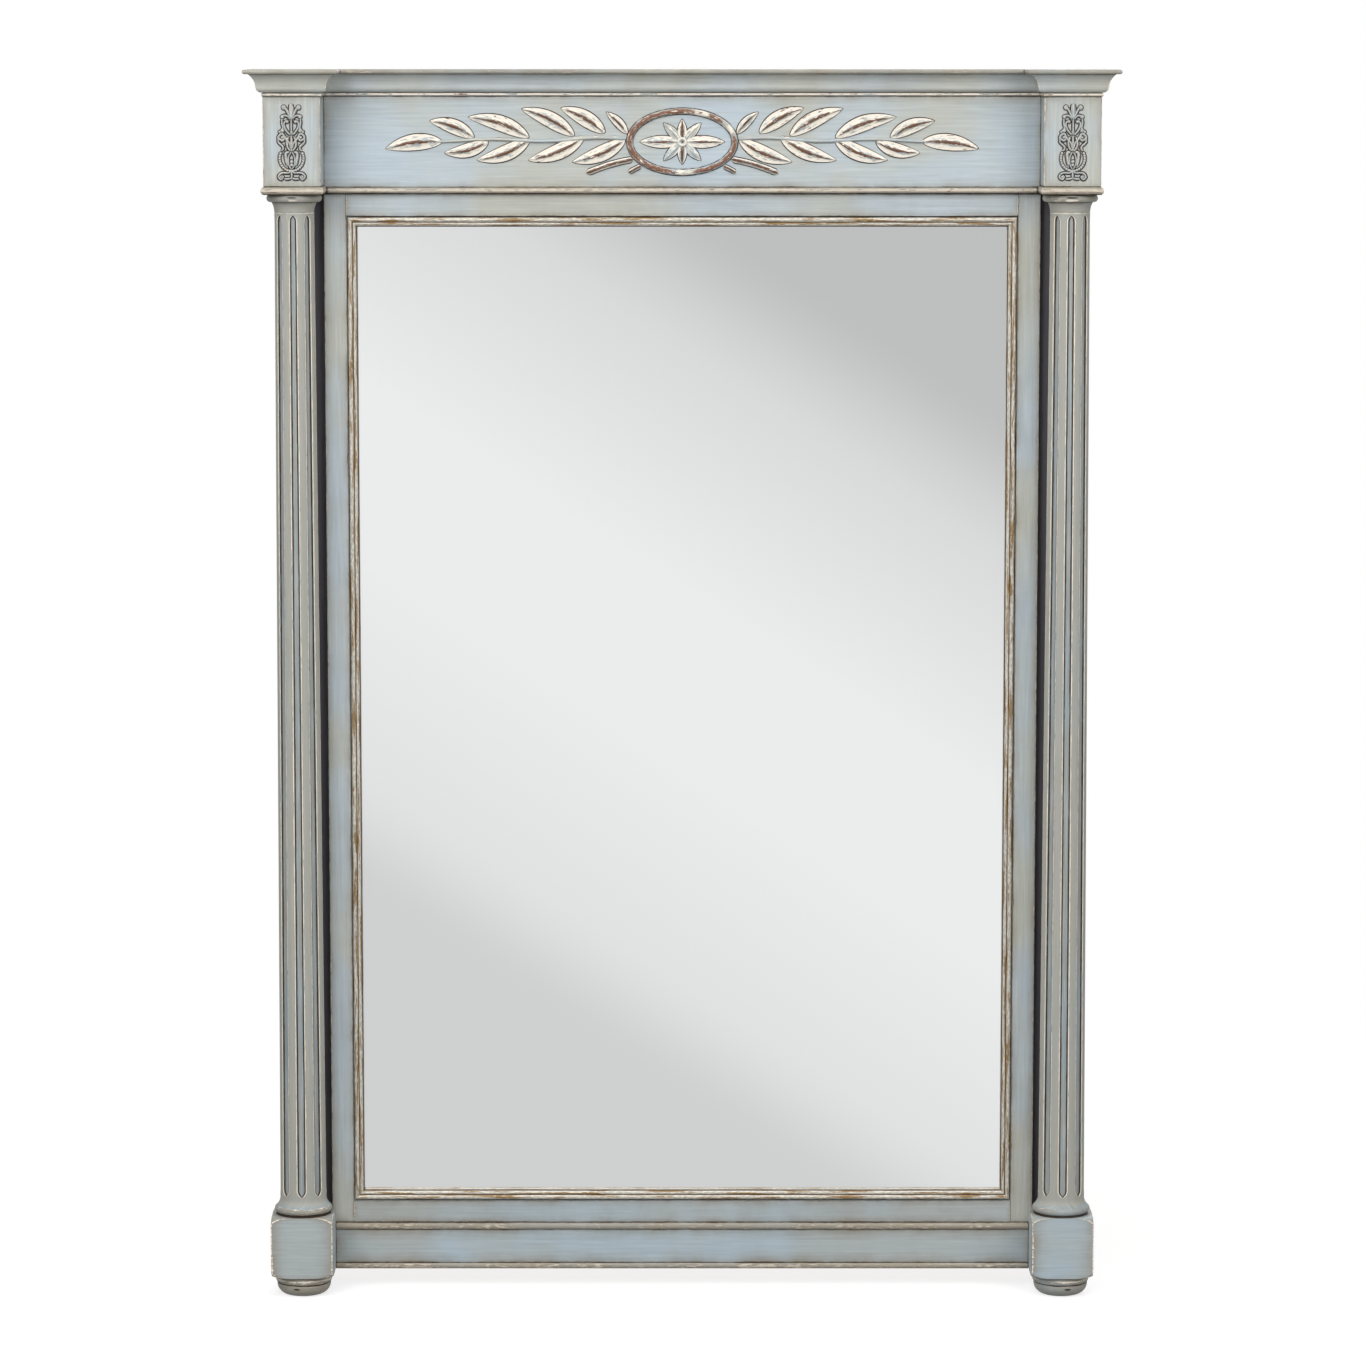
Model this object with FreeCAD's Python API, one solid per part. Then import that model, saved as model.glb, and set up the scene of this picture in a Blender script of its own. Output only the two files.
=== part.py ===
import FreeCAD, Part
import math
import os

Vector = FreeCAD.Vector

# A trumeau mirror that stands on two bun feet and hangs back against a wall.
# Millimetres. X runs to the right, Y into the wall, Z up. The origin is on the
# floor, in the middle of the width and of the depth.

# --- Looking glass and the bead round it ---
SIGHT_WIDTH = 820.0
SIGHT_HEIGHT = 1238.9
GLASS_THICKNESS = 5.0
GLASS_LAP = 8.0
GLASS_EDGE_CLEARANCE = 2.0
BEAD_WIDTH = 13.2
BEAD_HEIGHT = 13.0
BEAD_QUIRK_WIDTH = 1.2
BEAD_QUIRK_HEIGHT = 6.0
BEAD_ROLL_WIDTH = 6.0
BEAD_SLIP_WIDTH = 4.8
BEAD_LIP_HEIGHT = 7.2

# --- Facing frame and plinth ---
FACING_THICKNESS = 12.0
STILE_WIDTH = 28.3
TOP_RAIL_WIDTH = 28.6
BOTTOM_RAIL_WIDTH = 28.5
FACING_EASE = 1.5
PLINTH_FLOOR_GAP = 24.9
PLINTH_FOOT_STRIP = 7.9
PLINTH_HEIGHT = 43.7
PLINTH_CAP_STRIP = 9.1
PLINTH_PROUD = 2.0
STRIP_PROUD = 3.5

# --- Ground frame behind the facing ---
POST_WIDTH = 88.0
GROUND_DEPTH = 28.0
RAIL_THICKNESS = 20.0
HANGING_RAIL_HEIGHT = 100.0
CAP_RAIL_HEIGHT = 60.0
BACK_BOARD_THICKNESS = 6.0
BACK_BOARD_LAP = 10.0
BACK_BOARD_CLEARANCE = 0.5
GLAZING_BLOCK_WIDTH = 12.0
GLAZING_BLOCK_LENGTH = 60.0
GLAZING_BLOCKS_PER_POST = 4
GLAZING_BLOCKS_PER_RAIL = 3

# --- Columns ---
AXIS_FROM_FRAME = 35.1
FOOT_HEIGHT = 27.0
FOOT_RING_RADIUS = 36.5
FOOT_RING_HEIGHT = 10.5
FOOT_BUN_RADIUS = 34.5
FOOT_SOLE_RADIUS = 21.0
BASE_BLOCK_WIDTH = 78.9
BASE_BLOCK_HEIGHT = 77.9
BASE_SHOULDER_DROP = 9.0
BASE_NECK_HEIGHT = 2.1
BASE_NECK_RADIUS = 34.0
TORUS_HEIGHT = 9.0
TORUS_RADIUS = 36.8
SHAFT_BOTTOM_RADIUS = 29.6
SHAFT_TOP_RADIUS = 25.0
SHAFT_FLARE_RADIUS = 34.2
SHAFT_FLARE_HEIGHT = 11.0
SHAFT_FILLET_HEIGHT = 1.5
FLUTES = 8
FLUTE_DEPTH = 2.2
FLUTE_BOTTOM_WIDTH = 10.5
FLUTE_TOP_WIDTH = 8.2
FLUTE_BOTTOM_MARGIN = 14.0
FLUTE_TOP_MARGIN = 10.0
CAPITAL_HEIGHT = 24.0
CAPITAL_RING_HEIGHT = 9.4
CAPITAL_RING_RADIUS = 34.8
CAPITAL_BELL_RADIUS = 28.6
TENON_RADIUS = 10.0
TENON_LENGTH = 18.0
TENON_CLEARANCE = 0.15

# --- Entablature ---
ENTABLATURE_FRIEZE = 121.8
DIE_WIDTH = 71.7
DIE_EASE = 1.8
DIE_MOULDING_HEIGHT = 10.0
DIE_MOULDING_PROUD = 3.3
FRIEZE_PROUD = 4.0
FRIEZE_MOULDING_HEIGHT = 8.0
FRIEZE_MOULDING_PROUD = 3.0
ASTRAGAL_HEIGHT = 5.2
ASTRAGAL_PROUD = 1.8
CROWN_HEIGHT = 22.8
CROWN_FOOT_PROUD = 1.2
CROWN_OVOLO_PROUD = 7.8
CROWN_OVOLO_HEIGHT = 6.0
CROWN_TOP_PROUD = 16.5
CAP_THICKNESS = 5.7
CAP_OVERHANG = 23.2
COPE_CLEARANCE = 0.1

# --- Carving on the frieze and on the dies ---
CARVING_DEPTH = 5.0
RING_HALF_WIDTH = 69.7
RING_HALF_HEIGHT = 41.9
RING_BAND = 7.0
ROSETTE_LENGTH = 52.5
ROSETTE_HEIGHT = 27.8
ROSETTE_DIAGONAL = 33.5
PETAL_LONG_WIDTH = 15.0
PETAL_WIDTH = 11.0
ROSETTE_BUTTON_RADIUS = 5.9
STALK_LENGTH = 232.0
STALK_WIDTH = 4.6
LEAF_WIDTH = 17.5
END_LEAF_WIDTH = 20.0
SMALL_LEAF_WIDTH = 12.0
STEM_LENGTH = 61.0
STEM_WIDTH = 5.5
STEM_LEAVES_RING_AT = -32.5
STEM_SLOPE = -15.5
STUB_LENGTH = 18.0
STUB_WIDTH = 4.0
STUB_LEAVES_RING_AT = -47.0
STUB_SLOPE = -29.0
APPLIQUE_HEIGHT = 96.0
APPLIQUE_DEPTH = 3.2

# --- Hanging fittings on the back of the hanging rail ---
HANGER_FROM_POST = 120.0
STRAP_WIDTH = 20.0
STRAP_LENGTH = 62.0
STRAP_THICKNESS = 1.5
STRAP_BELOW_RAIL_TOP = 22.0
SCREW_FROM_STRAP_END = 8.0
SCREW_PITCH = 20.0
RING_WIRE_RADIUS = 2.0
RING_LEG_CLEARANCE = 1.0
RING_REACH = 23.0
RING_BEND_RADIUS = 2.6
RING_RUNNING_CLEARANCE = 0.1
RING_STRAP_GAP = 0.3
SCREW_RADIUS = 1.75
SCREW_HEAD_RADIUS = 3.6
SCREW_HEAD_HEIGHT = 1.6
SCREW_LENGTH = 16.0
SCREW_HOLE_CLEARANCE = 0.1
BOARD_SCREWS_PER_POST = 4
BOARD_SCREWS_PER_RAIL = 2

# --- Widths worked out from the sizes above ---
sight_x = SIGHT_WIDTH / 2
glass_x = sight_x + GLASS_LAP
post_in_x = glass_x + GLASS_EDGE_CLEARANCE
post_out_x = post_in_x + POST_WIDTH
bead_x = sight_x + BEAD_WIDTH
frame_x = bead_x + STILE_WIDTH
axis_x = frame_x + AXIS_FROM_FRAME
die_in_x = axis_x - DIE_WIDTH / 2
die_out_x = axis_x + DIE_WIDTH / 2
block_in_x = axis_x - BASE_BLOCK_WIDTH / 2

# --- Depths: the wall plane, the front of the ground frame, the faces before it ---
axis_before_ground = BASE_BLOCK_WIDTH / 2
total_depth = GROUND_DEPTH + axis_before_ground + DIE_WIDTH / 2 + CAP_OVERHANG
wall_y = total_depth / 2
ground_y = wall_y - GROUND_DEPTH
face_y = ground_y - FACING_THICKNESS
axis_y = ground_y - axis_before_ground
die_front_y = axis_y - DIE_WIDTH / 2
frieze_y = face_y - FRIEZE_PROUD
plinth_y = face_y - PLINTH_PROUD
rail_back_y = ground_y + RAIL_THICKNESS
board_front_y = rail_back_y - BACK_BOARD_THICKNESS

# --- Heights, from the floor up ---
plinth_z = PLINTH_FLOOR_GAP + PLINTH_FOOT_STRIP
plinth_top_z = plinth_z + PLINTH_HEIGHT
facing_z = plinth_top_z + PLINTH_CAP_STRIP
bead_z = facing_z + BOTTOM_RAIL_WIDTH
sight_z = bead_z + BEAD_WIDTH
sight_top_z = sight_z + SIGHT_HEIGHT
bead_top_z = sight_top_z + BEAD_WIDTH
entablature_z = bead_top_z + TOP_RAIL_WIDTH
frieze_z = entablature_z + FRIEZE_MOULDING_HEIGHT
die_z = entablature_z + DIE_MOULDING_HEIGHT
astragal_z = entablature_z + ENTABLATURE_FRIEZE
crown_z = astragal_z + ASTRAGAL_HEIGHT
cap_z = crown_z + CROWN_HEIGHT
top_z = cap_z + CAP_THICKNESS
block_top_z = FOOT_HEIGHT + BASE_BLOCK_HEIGHT
torus_z = block_top_z + BASE_NECK_HEIGHT
shaft_z = torus_z + TORUS_HEIGHT
capital_z = entablature_z - CAPITAL_HEIGHT
glass_z = sight_z - GLASS_LAP
glass_top_z = sight_top_z + GLASS_LAP
opening_z = glass_z - GLASS_EDGE_CLEARANCE
opening_top_z = glass_top_z + GLASS_EDGE_CLEARANCE
hanging_rail_top_z = opening_top_z + HANGING_RAIL_HEIGHT
carving_z = (frieze_z + astragal_z) / 2

# --- The straps, and the ring's hinge line on each ---
hanger_x = post_in_x - HANGER_FROM_POST
strap_top_z = hanging_rail_top_z - STRAP_BELOW_RAIL_TOP
hinge_y = rail_back_y + STRAP_THICKNESS + RING_STRAP_GAP + RING_WIRE_RADIUS
leg_x = STRAP_WIDTH / 2 + RING_LEG_CLEARANCE + RING_WIRE_RADIUS

# How far a cutting shape runs past what it cuts.
REACH = 10.0
UP = Vector(0, 0, 1)
RIGHT = Vector(1, 0, 0)
BACK = Vector(0, 1, 0)
ORIGIN = Vector(0, 0, 0)


# ------------------------------------------------------------------ basic shapes
def board(x, y, z):
    """A plain board between the (low, high) pairs x, y and z."""
    corner = Vector(x[0], y[0], z[0])
    return Part.makeBox(x[1] - x[0], y[1] - y[0], z[1] - z[0], corner)


def closed_wire(steps):
    """A closed wire through the steps: a point, or an arc as (via, end)."""
    edges = []
    here = steps[0]
    for step in steps[1:] + [steps[0]]:
        if isinstance(step, tuple):
            via, end = step
            edges.append(Part.Arc(here, via, end).toShape())
            here = end
        elif not here.isEqual(step, 1e-6):
            edges.append(Part.LineSegment(here, step).toShape())
            here = step
    return Part.Wire(edges)


def placed(profile, place):
    """The steps of a (projection, height) profile, each point put in space by place."""
    steps = []
    for step in profile:
        if isinstance(step[0], tuple):
            steps.append((place(*step[0]), place(*step[1])))
        else:
            steps.append(place(*step))
    return steps


def outline_face(steps):
    """The flat face inside a closed outline."""
    return Part.makeFace([closed_wire(steps)], "Part::FaceMakerBullseye")


def prism(steps, sweep):
    """The solid that the closed outline sweeps."""
    return outline_face(steps).extrude(sweep)


def turned(profile, x, y, z):
    """A turning: the (radius, height) profile about the vertical line at x, y."""
    steps = placed(profile, lambda r, h: Vector(x + r, y, z + h))
    foot = Vector(x, y, steps[0].z)
    last = steps[-1][1] if isinstance(steps[-1], tuple) else steps[-1]
    return outline_face([foot] + steps + [Vector(x, y, last.z)]).revolve(foot, UP, 360)


def rod(radius, length, start, direction):
    return Part.makeCylinder(radius, length, start, direction)


def joined(shapes):
    """One solid of several that overlap."""
    return shapes[0].multiFuse(shapes[1:]).removeSplitter()


def mirrored(shape):
    """The same piece on the left-hand side."""
    return shape.mirror(ORIGIN, RIGHT)


def spread(count, low, high):
    """Evenly spaced centres, with half a space at each end."""
    return [low + (high - low) * (i + 0.5) / count for i in range(count)]


# --------------------------------------------------------------- moulding profiles
# Each profile runs upwards as (projection, height) points and ((via), (end)) arcs.
def round_edge(height, proud):
    """A full rounded edge, as on an astragal or a strip."""
    return [(0, 0), ((proud, height / 2), (0, height))]


def cap_edge():
    """The thin bullnosed lip of the cap board."""
    r = CAP_THICKNESS / 2
    return [(CAP_OVERHANG - r, 0), ((CAP_OVERHANG, r), (CAP_OVERHANG - r, CAP_THICKNESS))]


def crown_edge():
    """A small ovolo under a tall cavetto that sweeps out to the cap."""
    ovolo = (CROWN_OVOLO_PROUD, CROWN_OVOLO_HEIGHT)
    rise = CROWN_OVOLO_PROUD - CROWN_FOOT_PROUD
    ovolo_via = (CROWN_FOOT_PROUD + rise * 0.72, CROWN_OVOLO_HEIGHT * 0.33)
    run = CROWN_TOP_PROUD - CROWN_OVOLO_PROUD
    cove = CROWN_HEIGHT - CROWN_OVOLO_HEIGHT
    cove_via = (CROWN_OVOLO_PROUD + run * 0.32, CROWN_OVOLO_HEIGHT + cove * 0.6)
    return [(CROWN_FOOT_PROUD, 0), (ovolo_via, ovolo), (cove_via, (CROWN_TOP_PROUD, CROWN_HEIGHT))]


def height_of(profile):
    last = profile[-1]
    return last[1][1] if isinstance(last[0], tuple) else last[1]


def front_moulding(profile, z, x, y_front, y_back):
    """A straight length along x with the profile on its front edge."""
    steps = placed(profile, lambda p, h: Vector(x[0], y_front - p, z + h))
    steps.append(Vector(x[0], y_back, z + height_of(profile)))
    steps.append(Vector(x[0], y_back, z))
    return prism(steps, RIGHT * (x[1] - x[0]))


def end_moulding(profile, z, x_end, outward, x_far, y):
    """A prism along y with the profile on its end: outward is +1 or -1 along X."""
    steps = placed(profile, lambda p, h: Vector(x_end + outward * p, y[0], z + h))
    steps.append(Vector(x_far, y[0], z + height_of(profile)))
    steps.append(Vector(x_far, y[0], z))
    return prism(steps, BACK * (y[1] - y[0]))


def over_die(profile, z):
    """A moulded slab over the right-hand die, mitred round three sides, clear of the post."""
    past = max(CAP_OVERHANG, DIE_MOULDING_PROUD) + REACH
    y = (die_front_y - past, wall_y)
    wide = (die_in_x - past, die_out_x + past)
    front = front_moulding(profile, z, wide, die_front_y, wall_y)
    outer = end_moulding(profile, z, die_out_x, 1, wide[0], y)
    inner = end_moulding(profile, z, die_in_x, -1, wide[1], y)
    return front.common(outer).common(inner)


def clear_of_post(shape):
    """Cuts the inner return back where the post's neck stands behind it."""
    neck = board((0, die_in_x), (ground_y, wall_y + REACH), (0, top_z + REACH))
    return shape.cut(neck)


def between_dies(profile, z, y_front):
    """The set-back centre length, coped against the returns of the two dies."""
    past = CAP_OVERHANG + REACH
    wide = die_in_x + past
    end = die_in_x - COPE_CLEARANCE
    straight = front_moulding(profile, z, (-wide, wide), y_front, ground_y)
    right = end_moulding(profile, z, end, -1, 0, (y_front - past, ground_y + REACH))
    half = straight.common(right)
    return joined([half, mirrored(half)])


# -------------------------------------------------------------------- ground frame
def screw(x, z, y_head):
    """A cheese-headed screw driven forwards, its head seated at y_head."""
    head = rod(SCREW_HEAD_RADIUS, SCREW_HEAD_HEIGHT, Vector(x, y_head, z), BACK)
    shank = rod(SCREW_RADIUS, SCREW_LENGTH, Vector(x, y_head - SCREW_LENGTH, z), BACK)
    return joined([head, shank])


def screw_holes(places, y_head):
    """Clearance holes for the screws at the (x, z) places."""
    radius = SCREW_RADIUS + SCREW_HOLE_CLEARANCE
    depth = SCREW_LENGTH + SCREW_HOLE_CLEARANCE
    return [rod(radius, depth, Vector(x, y_head - depth, z), BACK) for x, z in places]


def board_screw_places():
    """Where the back board is screwed into the rebates of posts and rails."""
    edge = BACK_BOARD_LAP / 2
    places = []
    for z in spread(BOARD_SCREWS_PER_POST, opening_z, opening_top_z):
        places += [(-post_in_x - edge, z), (post_in_x + edge, z)]
    for x in spread(BOARD_SCREWS_PER_RAIL, -post_in_x, post_in_x):
        places += [(x, opening_z - edge), (x, opening_top_z + edge)]
    return places


def hanger_screw_places():
    """The two screws of each strap, right-hand strap first."""
    lowest = strap_top_z - STRAP_LENGTH + SCREW_FROM_STRAP_END
    heights = (lowest, lowest + SCREW_PITCH)
    return [(x, z) for x in (hanger_x, -hanger_x) for z in heights]


def rebate():
    """The space that the back board's rebate takes out of posts and rails."""
    x = post_in_x + BACK_BOARD_LAP
    z = (opening_z - BACK_BOARD_LAP, opening_top_z + BACK_BOARD_LAP)
    return board((-x, x), (board_front_y, wall_y + REACH), z)


def post():
    """Right-hand post: full width up to the entablature, a narrower neck beside the die."""
    body = board((post_in_x, post_out_x), (ground_y, wall_y), (PLINTH_FLOOR_GAP, entablature_z))
    neck = board((post_in_x, die_in_x), (ground_y, wall_y), (entablature_z - REACH, cap_z))
    return joined([body, neck]).cut(rebate())


def rail(z_low, z_high):
    """A rail between the posts, its back set in from the wall plane."""
    return board((-post_in_x, post_in_x), (ground_y, rail_back_y), (z_low, z_high)).cut(rebate())


def back_board():
    x = post_in_x + BACK_BOARD_LAP - BACK_BOARD_CLEARANCE
    low = opening_z - BACK_BOARD_LAP + BACK_BOARD_CLEARANCE
    high = opening_top_z + BACK_BOARD_LAP - BACK_BOARD_CLEARANCE
    return board((-x, x), (board_front_y, rail_back_y), (low, high))


def glazing_blocks():
    """Softwood blocks glued round the opening, which hold the glass to the bead."""
    y = (ground_y + GLASS_THICKNESS, board_front_y)
    half = GLAZING_BLOCK_LENGTH / 2
    blocks = []
    for z in spread(GLAZING_BLOCKS_PER_POST, opening_z, opening_top_z):
        block = board((post_in_x - GLAZING_BLOCK_WIDTH, post_in_x), y, (z - half, z + half))
        blocks += [block, mirrored(block)]
    for x in spread(GLAZING_BLOCKS_PER_RAIL, -post_in_x, post_in_x):
        across = (x - half, x + half)
        blocks.append(board(across, y, (opening_z, opening_z + GLAZING_BLOCK_WIDTH)))
        blocks.append(board(across, y, (opening_top_z - GLAZING_BLOCK_WIDTH, opening_top_z)))
    return blocks


# ---------------------------------------------------------- glass, bead and facing
def mirror_glass():
    y = (ground_y, ground_y + GLASS_THICKNESS)
    return board((-glass_x, glass_x), y, (glass_z, glass_top_z))


def bead_profile():
    """Quirk, roll, lower slip and lip, as (distance in from the facing, height)."""
    roll = BEAD_QUIRK_WIDTH
    slip = roll + BEAD_ROLL_WIDTH
    lip = slip + BEAD_SLIP_WIDTH
    side = BEAD_HEIGHT - BEAD_ROLL_WIDTH / 2
    return [(0, 0), (0, BEAD_QUIRK_HEIGHT), (roll, BEAD_QUIRK_HEIGHT), (roll, side),
            ((roll + BEAD_ROLL_WIDTH / 2, BEAD_HEIGHT), (slip, side)),
            ((slip + BEAD_SLIP_WIDTH / 2, side + 0.8), (lip, BEAD_LIP_HEIGHT + 0.6)),
            (BEAD_WIDTH, BEAD_LIP_HEIGHT), (BEAD_WIDTH, 0)]


def sight_bead(length, place):
    """One mitred side of the bead; place puts (along, inwards, forwards) in space."""
    half = length / 2
    along = place(length, 0, 0) - place(0, 0, 0)
    straight = prism(placed(bead_profile(), lambda u, v: place(-half, u, v)), along)
    corners = [(-half, 0), (half, 0), (half - BEAD_WIDTH, BEAD_WIDTH), (BEAD_WIDTH - half, BEAD_WIDTH)]
    forwards = place(0, 0, BEAD_HEIGHT + 2 * REACH) - place(0, 0, 0)
    mitre = prism([place(s, u, -REACH) for s, u in corners], forwards)
    return straight.common(mitre)


def sight_beads():
    """The four sides by name."""
    width = 2 * bead_x
    height = bead_top_z - bead_z
    middle = (bead_z + bead_top_z) / 2
    return {
        "bead_right": sight_bead(height, lambda s, u, v: Vector(bead_x - u, ground_y - v, middle + s)),
        "bead_left": sight_bead(height, lambda s, u, v: Vector(u - bead_x, ground_y - v, middle + s)),
        "bead_top": sight_bead(width, lambda s, u, v: Vector(s, ground_y - v, bead_top_z - u)),
        "bead_bottom": sight_bead(width, lambda s, u, v: Vector(s, ground_y - v, bead_z + u)),
    }


def facing_stile():
    """Right-hand stile with an eased outer edge."""
    ease = FACING_EASE
    slack = ease * (1 - math.sqrt(0.5))
    steps = [Vector(bead_x, ground_y, facing_z), Vector(frame_x, ground_y, facing_z),
             Vector(frame_x, face_y + ease, facing_z),
             (Vector(frame_x - slack, face_y + slack, facing_z), Vector(frame_x - ease, face_y, facing_z)),
             Vector(bead_x, face_y, facing_z)]
    return prism(steps, UP * (entablature_z - facing_z))


def facing_rail(z_low, z_high):
    return board((-bead_x, bead_x), (face_y, ground_y), (z_low, z_high))


# -------------------------------------------------------------------------- plinth
def plinth_board():
    return board((-block_in_x, block_in_x), (plinth_y, ground_y), (plinth_z, plinth_top_z))


def plinth_strip(z, height):
    """A round-edged strip between the two base blocks."""
    edge = round_edge(height, STRIP_PROUD)
    return front_moulding(edge, z, (-block_in_x, block_in_x), plinth_y, ground_y)


# ------------------------------------------------------------------------- columns
def foot():
    """A turned bun foot: a flat ring over a bun, with a dowel up into the base block."""
    bun = FOOT_HEIGHT - FOOT_RING_HEIGHT
    groove = FOOT_BUN_RADIUS - 1.5
    middle = (FOOT_RING_RADIUS, FOOT_HEIGHT - FOOT_RING_HEIGHT / 2)
    belly = (FOOT_SOLE_RADIUS + (FOOT_BUN_RADIUS - FOOT_SOLE_RADIUS) * 0.72, bun * 0.28)
    profile = [(FOOT_SOLE_RADIUS, 0), (belly, (FOOT_BUN_RADIUS, bun - 1.5)), (groove, bun),
               (FOOT_RING_RADIUS - 1.5, bun), (middle, (FOOT_RING_RADIUS - 1.5, FOOT_HEIGHT))]
    dowel = rod(TENON_RADIUS, TENON_LENGTH + REACH, Vector(axis_x, axis_y, FOOT_HEIGHT - REACH), UP)
    return joined([turned(profile, axis_x, axis_y, 0), dowel])


def base_shoulders():
    """The turned form that rounds the corners of the square base block, with the torus on top."""
    face = BASE_BLOCK_WIDTH / 2
    corner = face * math.sqrt(2) + 1.0
    side = face - 0.8
    drop = BASE_SHOULDER_DROP
    top = BASE_BLOCK_HEIGHT
    bulge = side + (corner - side) * 0.72
    torus = top + BASE_NECK_HEIGHT
    seat = TORUS_RADIUS - TORUS_HEIGHT / 2
    return [(side, 0), ((bulge, drop * 0.28), (corner, drop)), (corner, top - drop),
            ((bulge, top - drop * 0.28), (side, top)), (BASE_NECK_RADIUS, top), (BASE_NECK_RADIUS, torus),
            (seat, torus), ((TORUS_RADIUS, torus + TORUS_HEIGHT / 2), (seat, torus + TORUS_HEIGHT))]


def column_base():
    """Square block with turned shoulders and torus, bored for shaft and foot, notched over the stile."""
    half = BASE_BLOCK_WIDTH / 2
    high = shaft_z + REACH
    square = board((axis_x - half, axis_x + half), (axis_y - half, axis_y + half), (FOOT_HEIGHT, high))
    shape = turned(base_shoulders(), axis_x, axis_y, FOOT_HEIGHT).common(square)
    bore = TENON_RADIUS + TENON_CLEARANCE
    deep = TENON_LENGTH + TENON_CLEARANCE
    lower = rod(bore, deep, Vector(axis_x, axis_y, FOOT_HEIGHT), UP)
    upper = rod(bore, deep, Vector(axis_x, axis_y, shaft_z - deep), UP)
    x = (block_in_x - REACH, frame_x + TENON_CLEARANCE)
    y = (face_y - TENON_CLEARANCE, ground_y + REACH)
    notch = board(x, y, (facing_z, high))
    return shape.cut(lower).cut(upper).cut(notch)


def flute_cutter(z_low, z_high):
    """A tapered slot with round ends whose flat floor keeps one depth below the shaft."""
    slope = (SHAFT_TOP_RADIUS - SHAFT_BOTTOM_RADIUS) / (capital_z - shaft_z)
    low = FLUTE_BOTTOM_WIDTH / 2
    high = FLUTE_TOP_WIDTH / 2

    def on_floor(across, z):
        radius = SHAFT_BOTTOM_RADIUS + slope * (z - shaft_z) - FLUTE_DEPTH
        return Vector(axis_x + across, axis_y - radius, z)

    steps = [on_floor(low, z_low + low), on_floor(high, z_high - high),
             (on_floor(0, z_high), on_floor(-high, z_high - high)), on_floor(-low, z_low + low),
             (on_floor(0, z_low), on_floor(low, z_low + low))]
    outwards = Vector(0, -1, -slope).normalize()
    return prism(steps, outwards * (FLUTE_DEPTH + REACH))


def fluted_shaft():
    """The tapered shaft with its flare, a tenon at each end and stopped flutes all round."""
    length = capital_z - shaft_z
    flare_rise = (SHAFT_FLARE_RADIUS - SHAFT_BOTTOM_RADIUS) * 0.28
    flare_via = (SHAFT_BOTTOM_RADIUS + flare_rise, SHAFT_FLARE_HEIGHT * 0.42)
    profile = [(SHAFT_FLARE_RADIUS, 0), (SHAFT_FLARE_RADIUS, SHAFT_FILLET_HEIGHT),
               (flare_via, (SHAFT_BOTTOM_RADIUS, SHAFT_FLARE_HEIGHT)), (SHAFT_TOP_RADIUS, length)]
    body = turned(profile, axis_x, axis_y, shaft_z)
    tenon = rod(TENON_RADIUS, length + 2 * TENON_LENGTH, Vector(axis_x, axis_y, shaft_z - TENON_LENGTH), UP)
    shape = joined([body, tenon])
    z_low = shaft_z + FLUTE_BOTTOM_MARGIN
    cutter = flute_cutter(z_low, capital_z - FLUTE_TOP_MARGIN)
    centre = Vector(axis_x, axis_y, 0)
    for i in range(FLUTES):
        turned_cutter = cutter.copy()
        turned_cutter.rotate(centre, UP, 360.0 * i / FLUTES)
        shape = shape.cut(turned_cutter)
    return shape


def capital():
    """A bell that flares from the shaft to a round-edged ring under the die."""
    bell = CAPITAL_HEIGHT - CAPITAL_RING_HEIGHT
    rise = CAPITAL_BELL_RADIUS - SHAFT_TOP_RADIUS
    seat = CAPITAL_RING_RADIUS - CAPITAL_RING_HEIGHT / 3
    bell_via = (SHAFT_TOP_RADIUS + rise * 0.3, bell * 0.6)
    ring_via = (CAPITAL_RING_RADIUS, bell + CAPITAL_RING_HEIGHT / 2)
    profile = [(SHAFT_TOP_RADIUS, 0), (bell_via, (CAPITAL_BELL_RADIUS, bell)), (seat, bell),
               (ring_via, (seat, CAPITAL_HEIGHT))]
    start = Vector(axis_x, axis_y, capital_z)
    bore = rod(TENON_RADIUS + TENON_CLEARANCE, TENON_LENGTH + TENON_CLEARANCE, start, UP)
    return turned(profile, axis_x, axis_y, capital_z).cut(bore)


# --------------------------------------------------------------------- entablature
def die():
    """The square block over the column, eased down its front corners."""
    ease = DIE_EASE
    slack = ease * (1 - math.sqrt(0.5))
    y = die_front_y
    steps = [Vector(die_in_x, wall_y, die_z), Vector(die_out_x, wall_y, die_z),
             Vector(die_out_x, y + ease, die_z),
             (Vector(die_out_x - slack, y + slack, die_z), Vector(die_out_x - ease, y, die_z)),
             Vector(die_in_x + ease, y, die_z),
             (Vector(die_in_x + slack, y + slack, die_z), Vector(die_in_x, y + ease, die_z))]
    return prism(steps, UP * (astragal_z - die_z))


def die_moulding():
    """The round moulding under the right-hand die, its inner return cut back at the post."""
    moulding = round_edge(DIE_MOULDING_HEIGHT, DIE_MOULDING_PROUD)
    return clear_of_post(over_die(moulding, entablature_z))


def frieze_board():
    """Between the dies, its lower corners coped over the taller die mouldings."""
    shape = board((-die_in_x, die_in_x), (frieze_y, ground_y), (frieze_z, astragal_z))
    return shape.cut(die_moulding()).cut(mirrored(die_moulding()))


def frieze_moulding():
    """The half-round under the frieze, between the mouldings of the dies."""
    end = die_in_x - DIE_MOULDING_PROUD
    edge = round_edge(FRIEZE_MOULDING_HEIGHT, FRIEZE_MOULDING_PROUD)
    return front_moulding(edge, entablature_z, (-end, end), frieze_y, ground_y)


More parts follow.
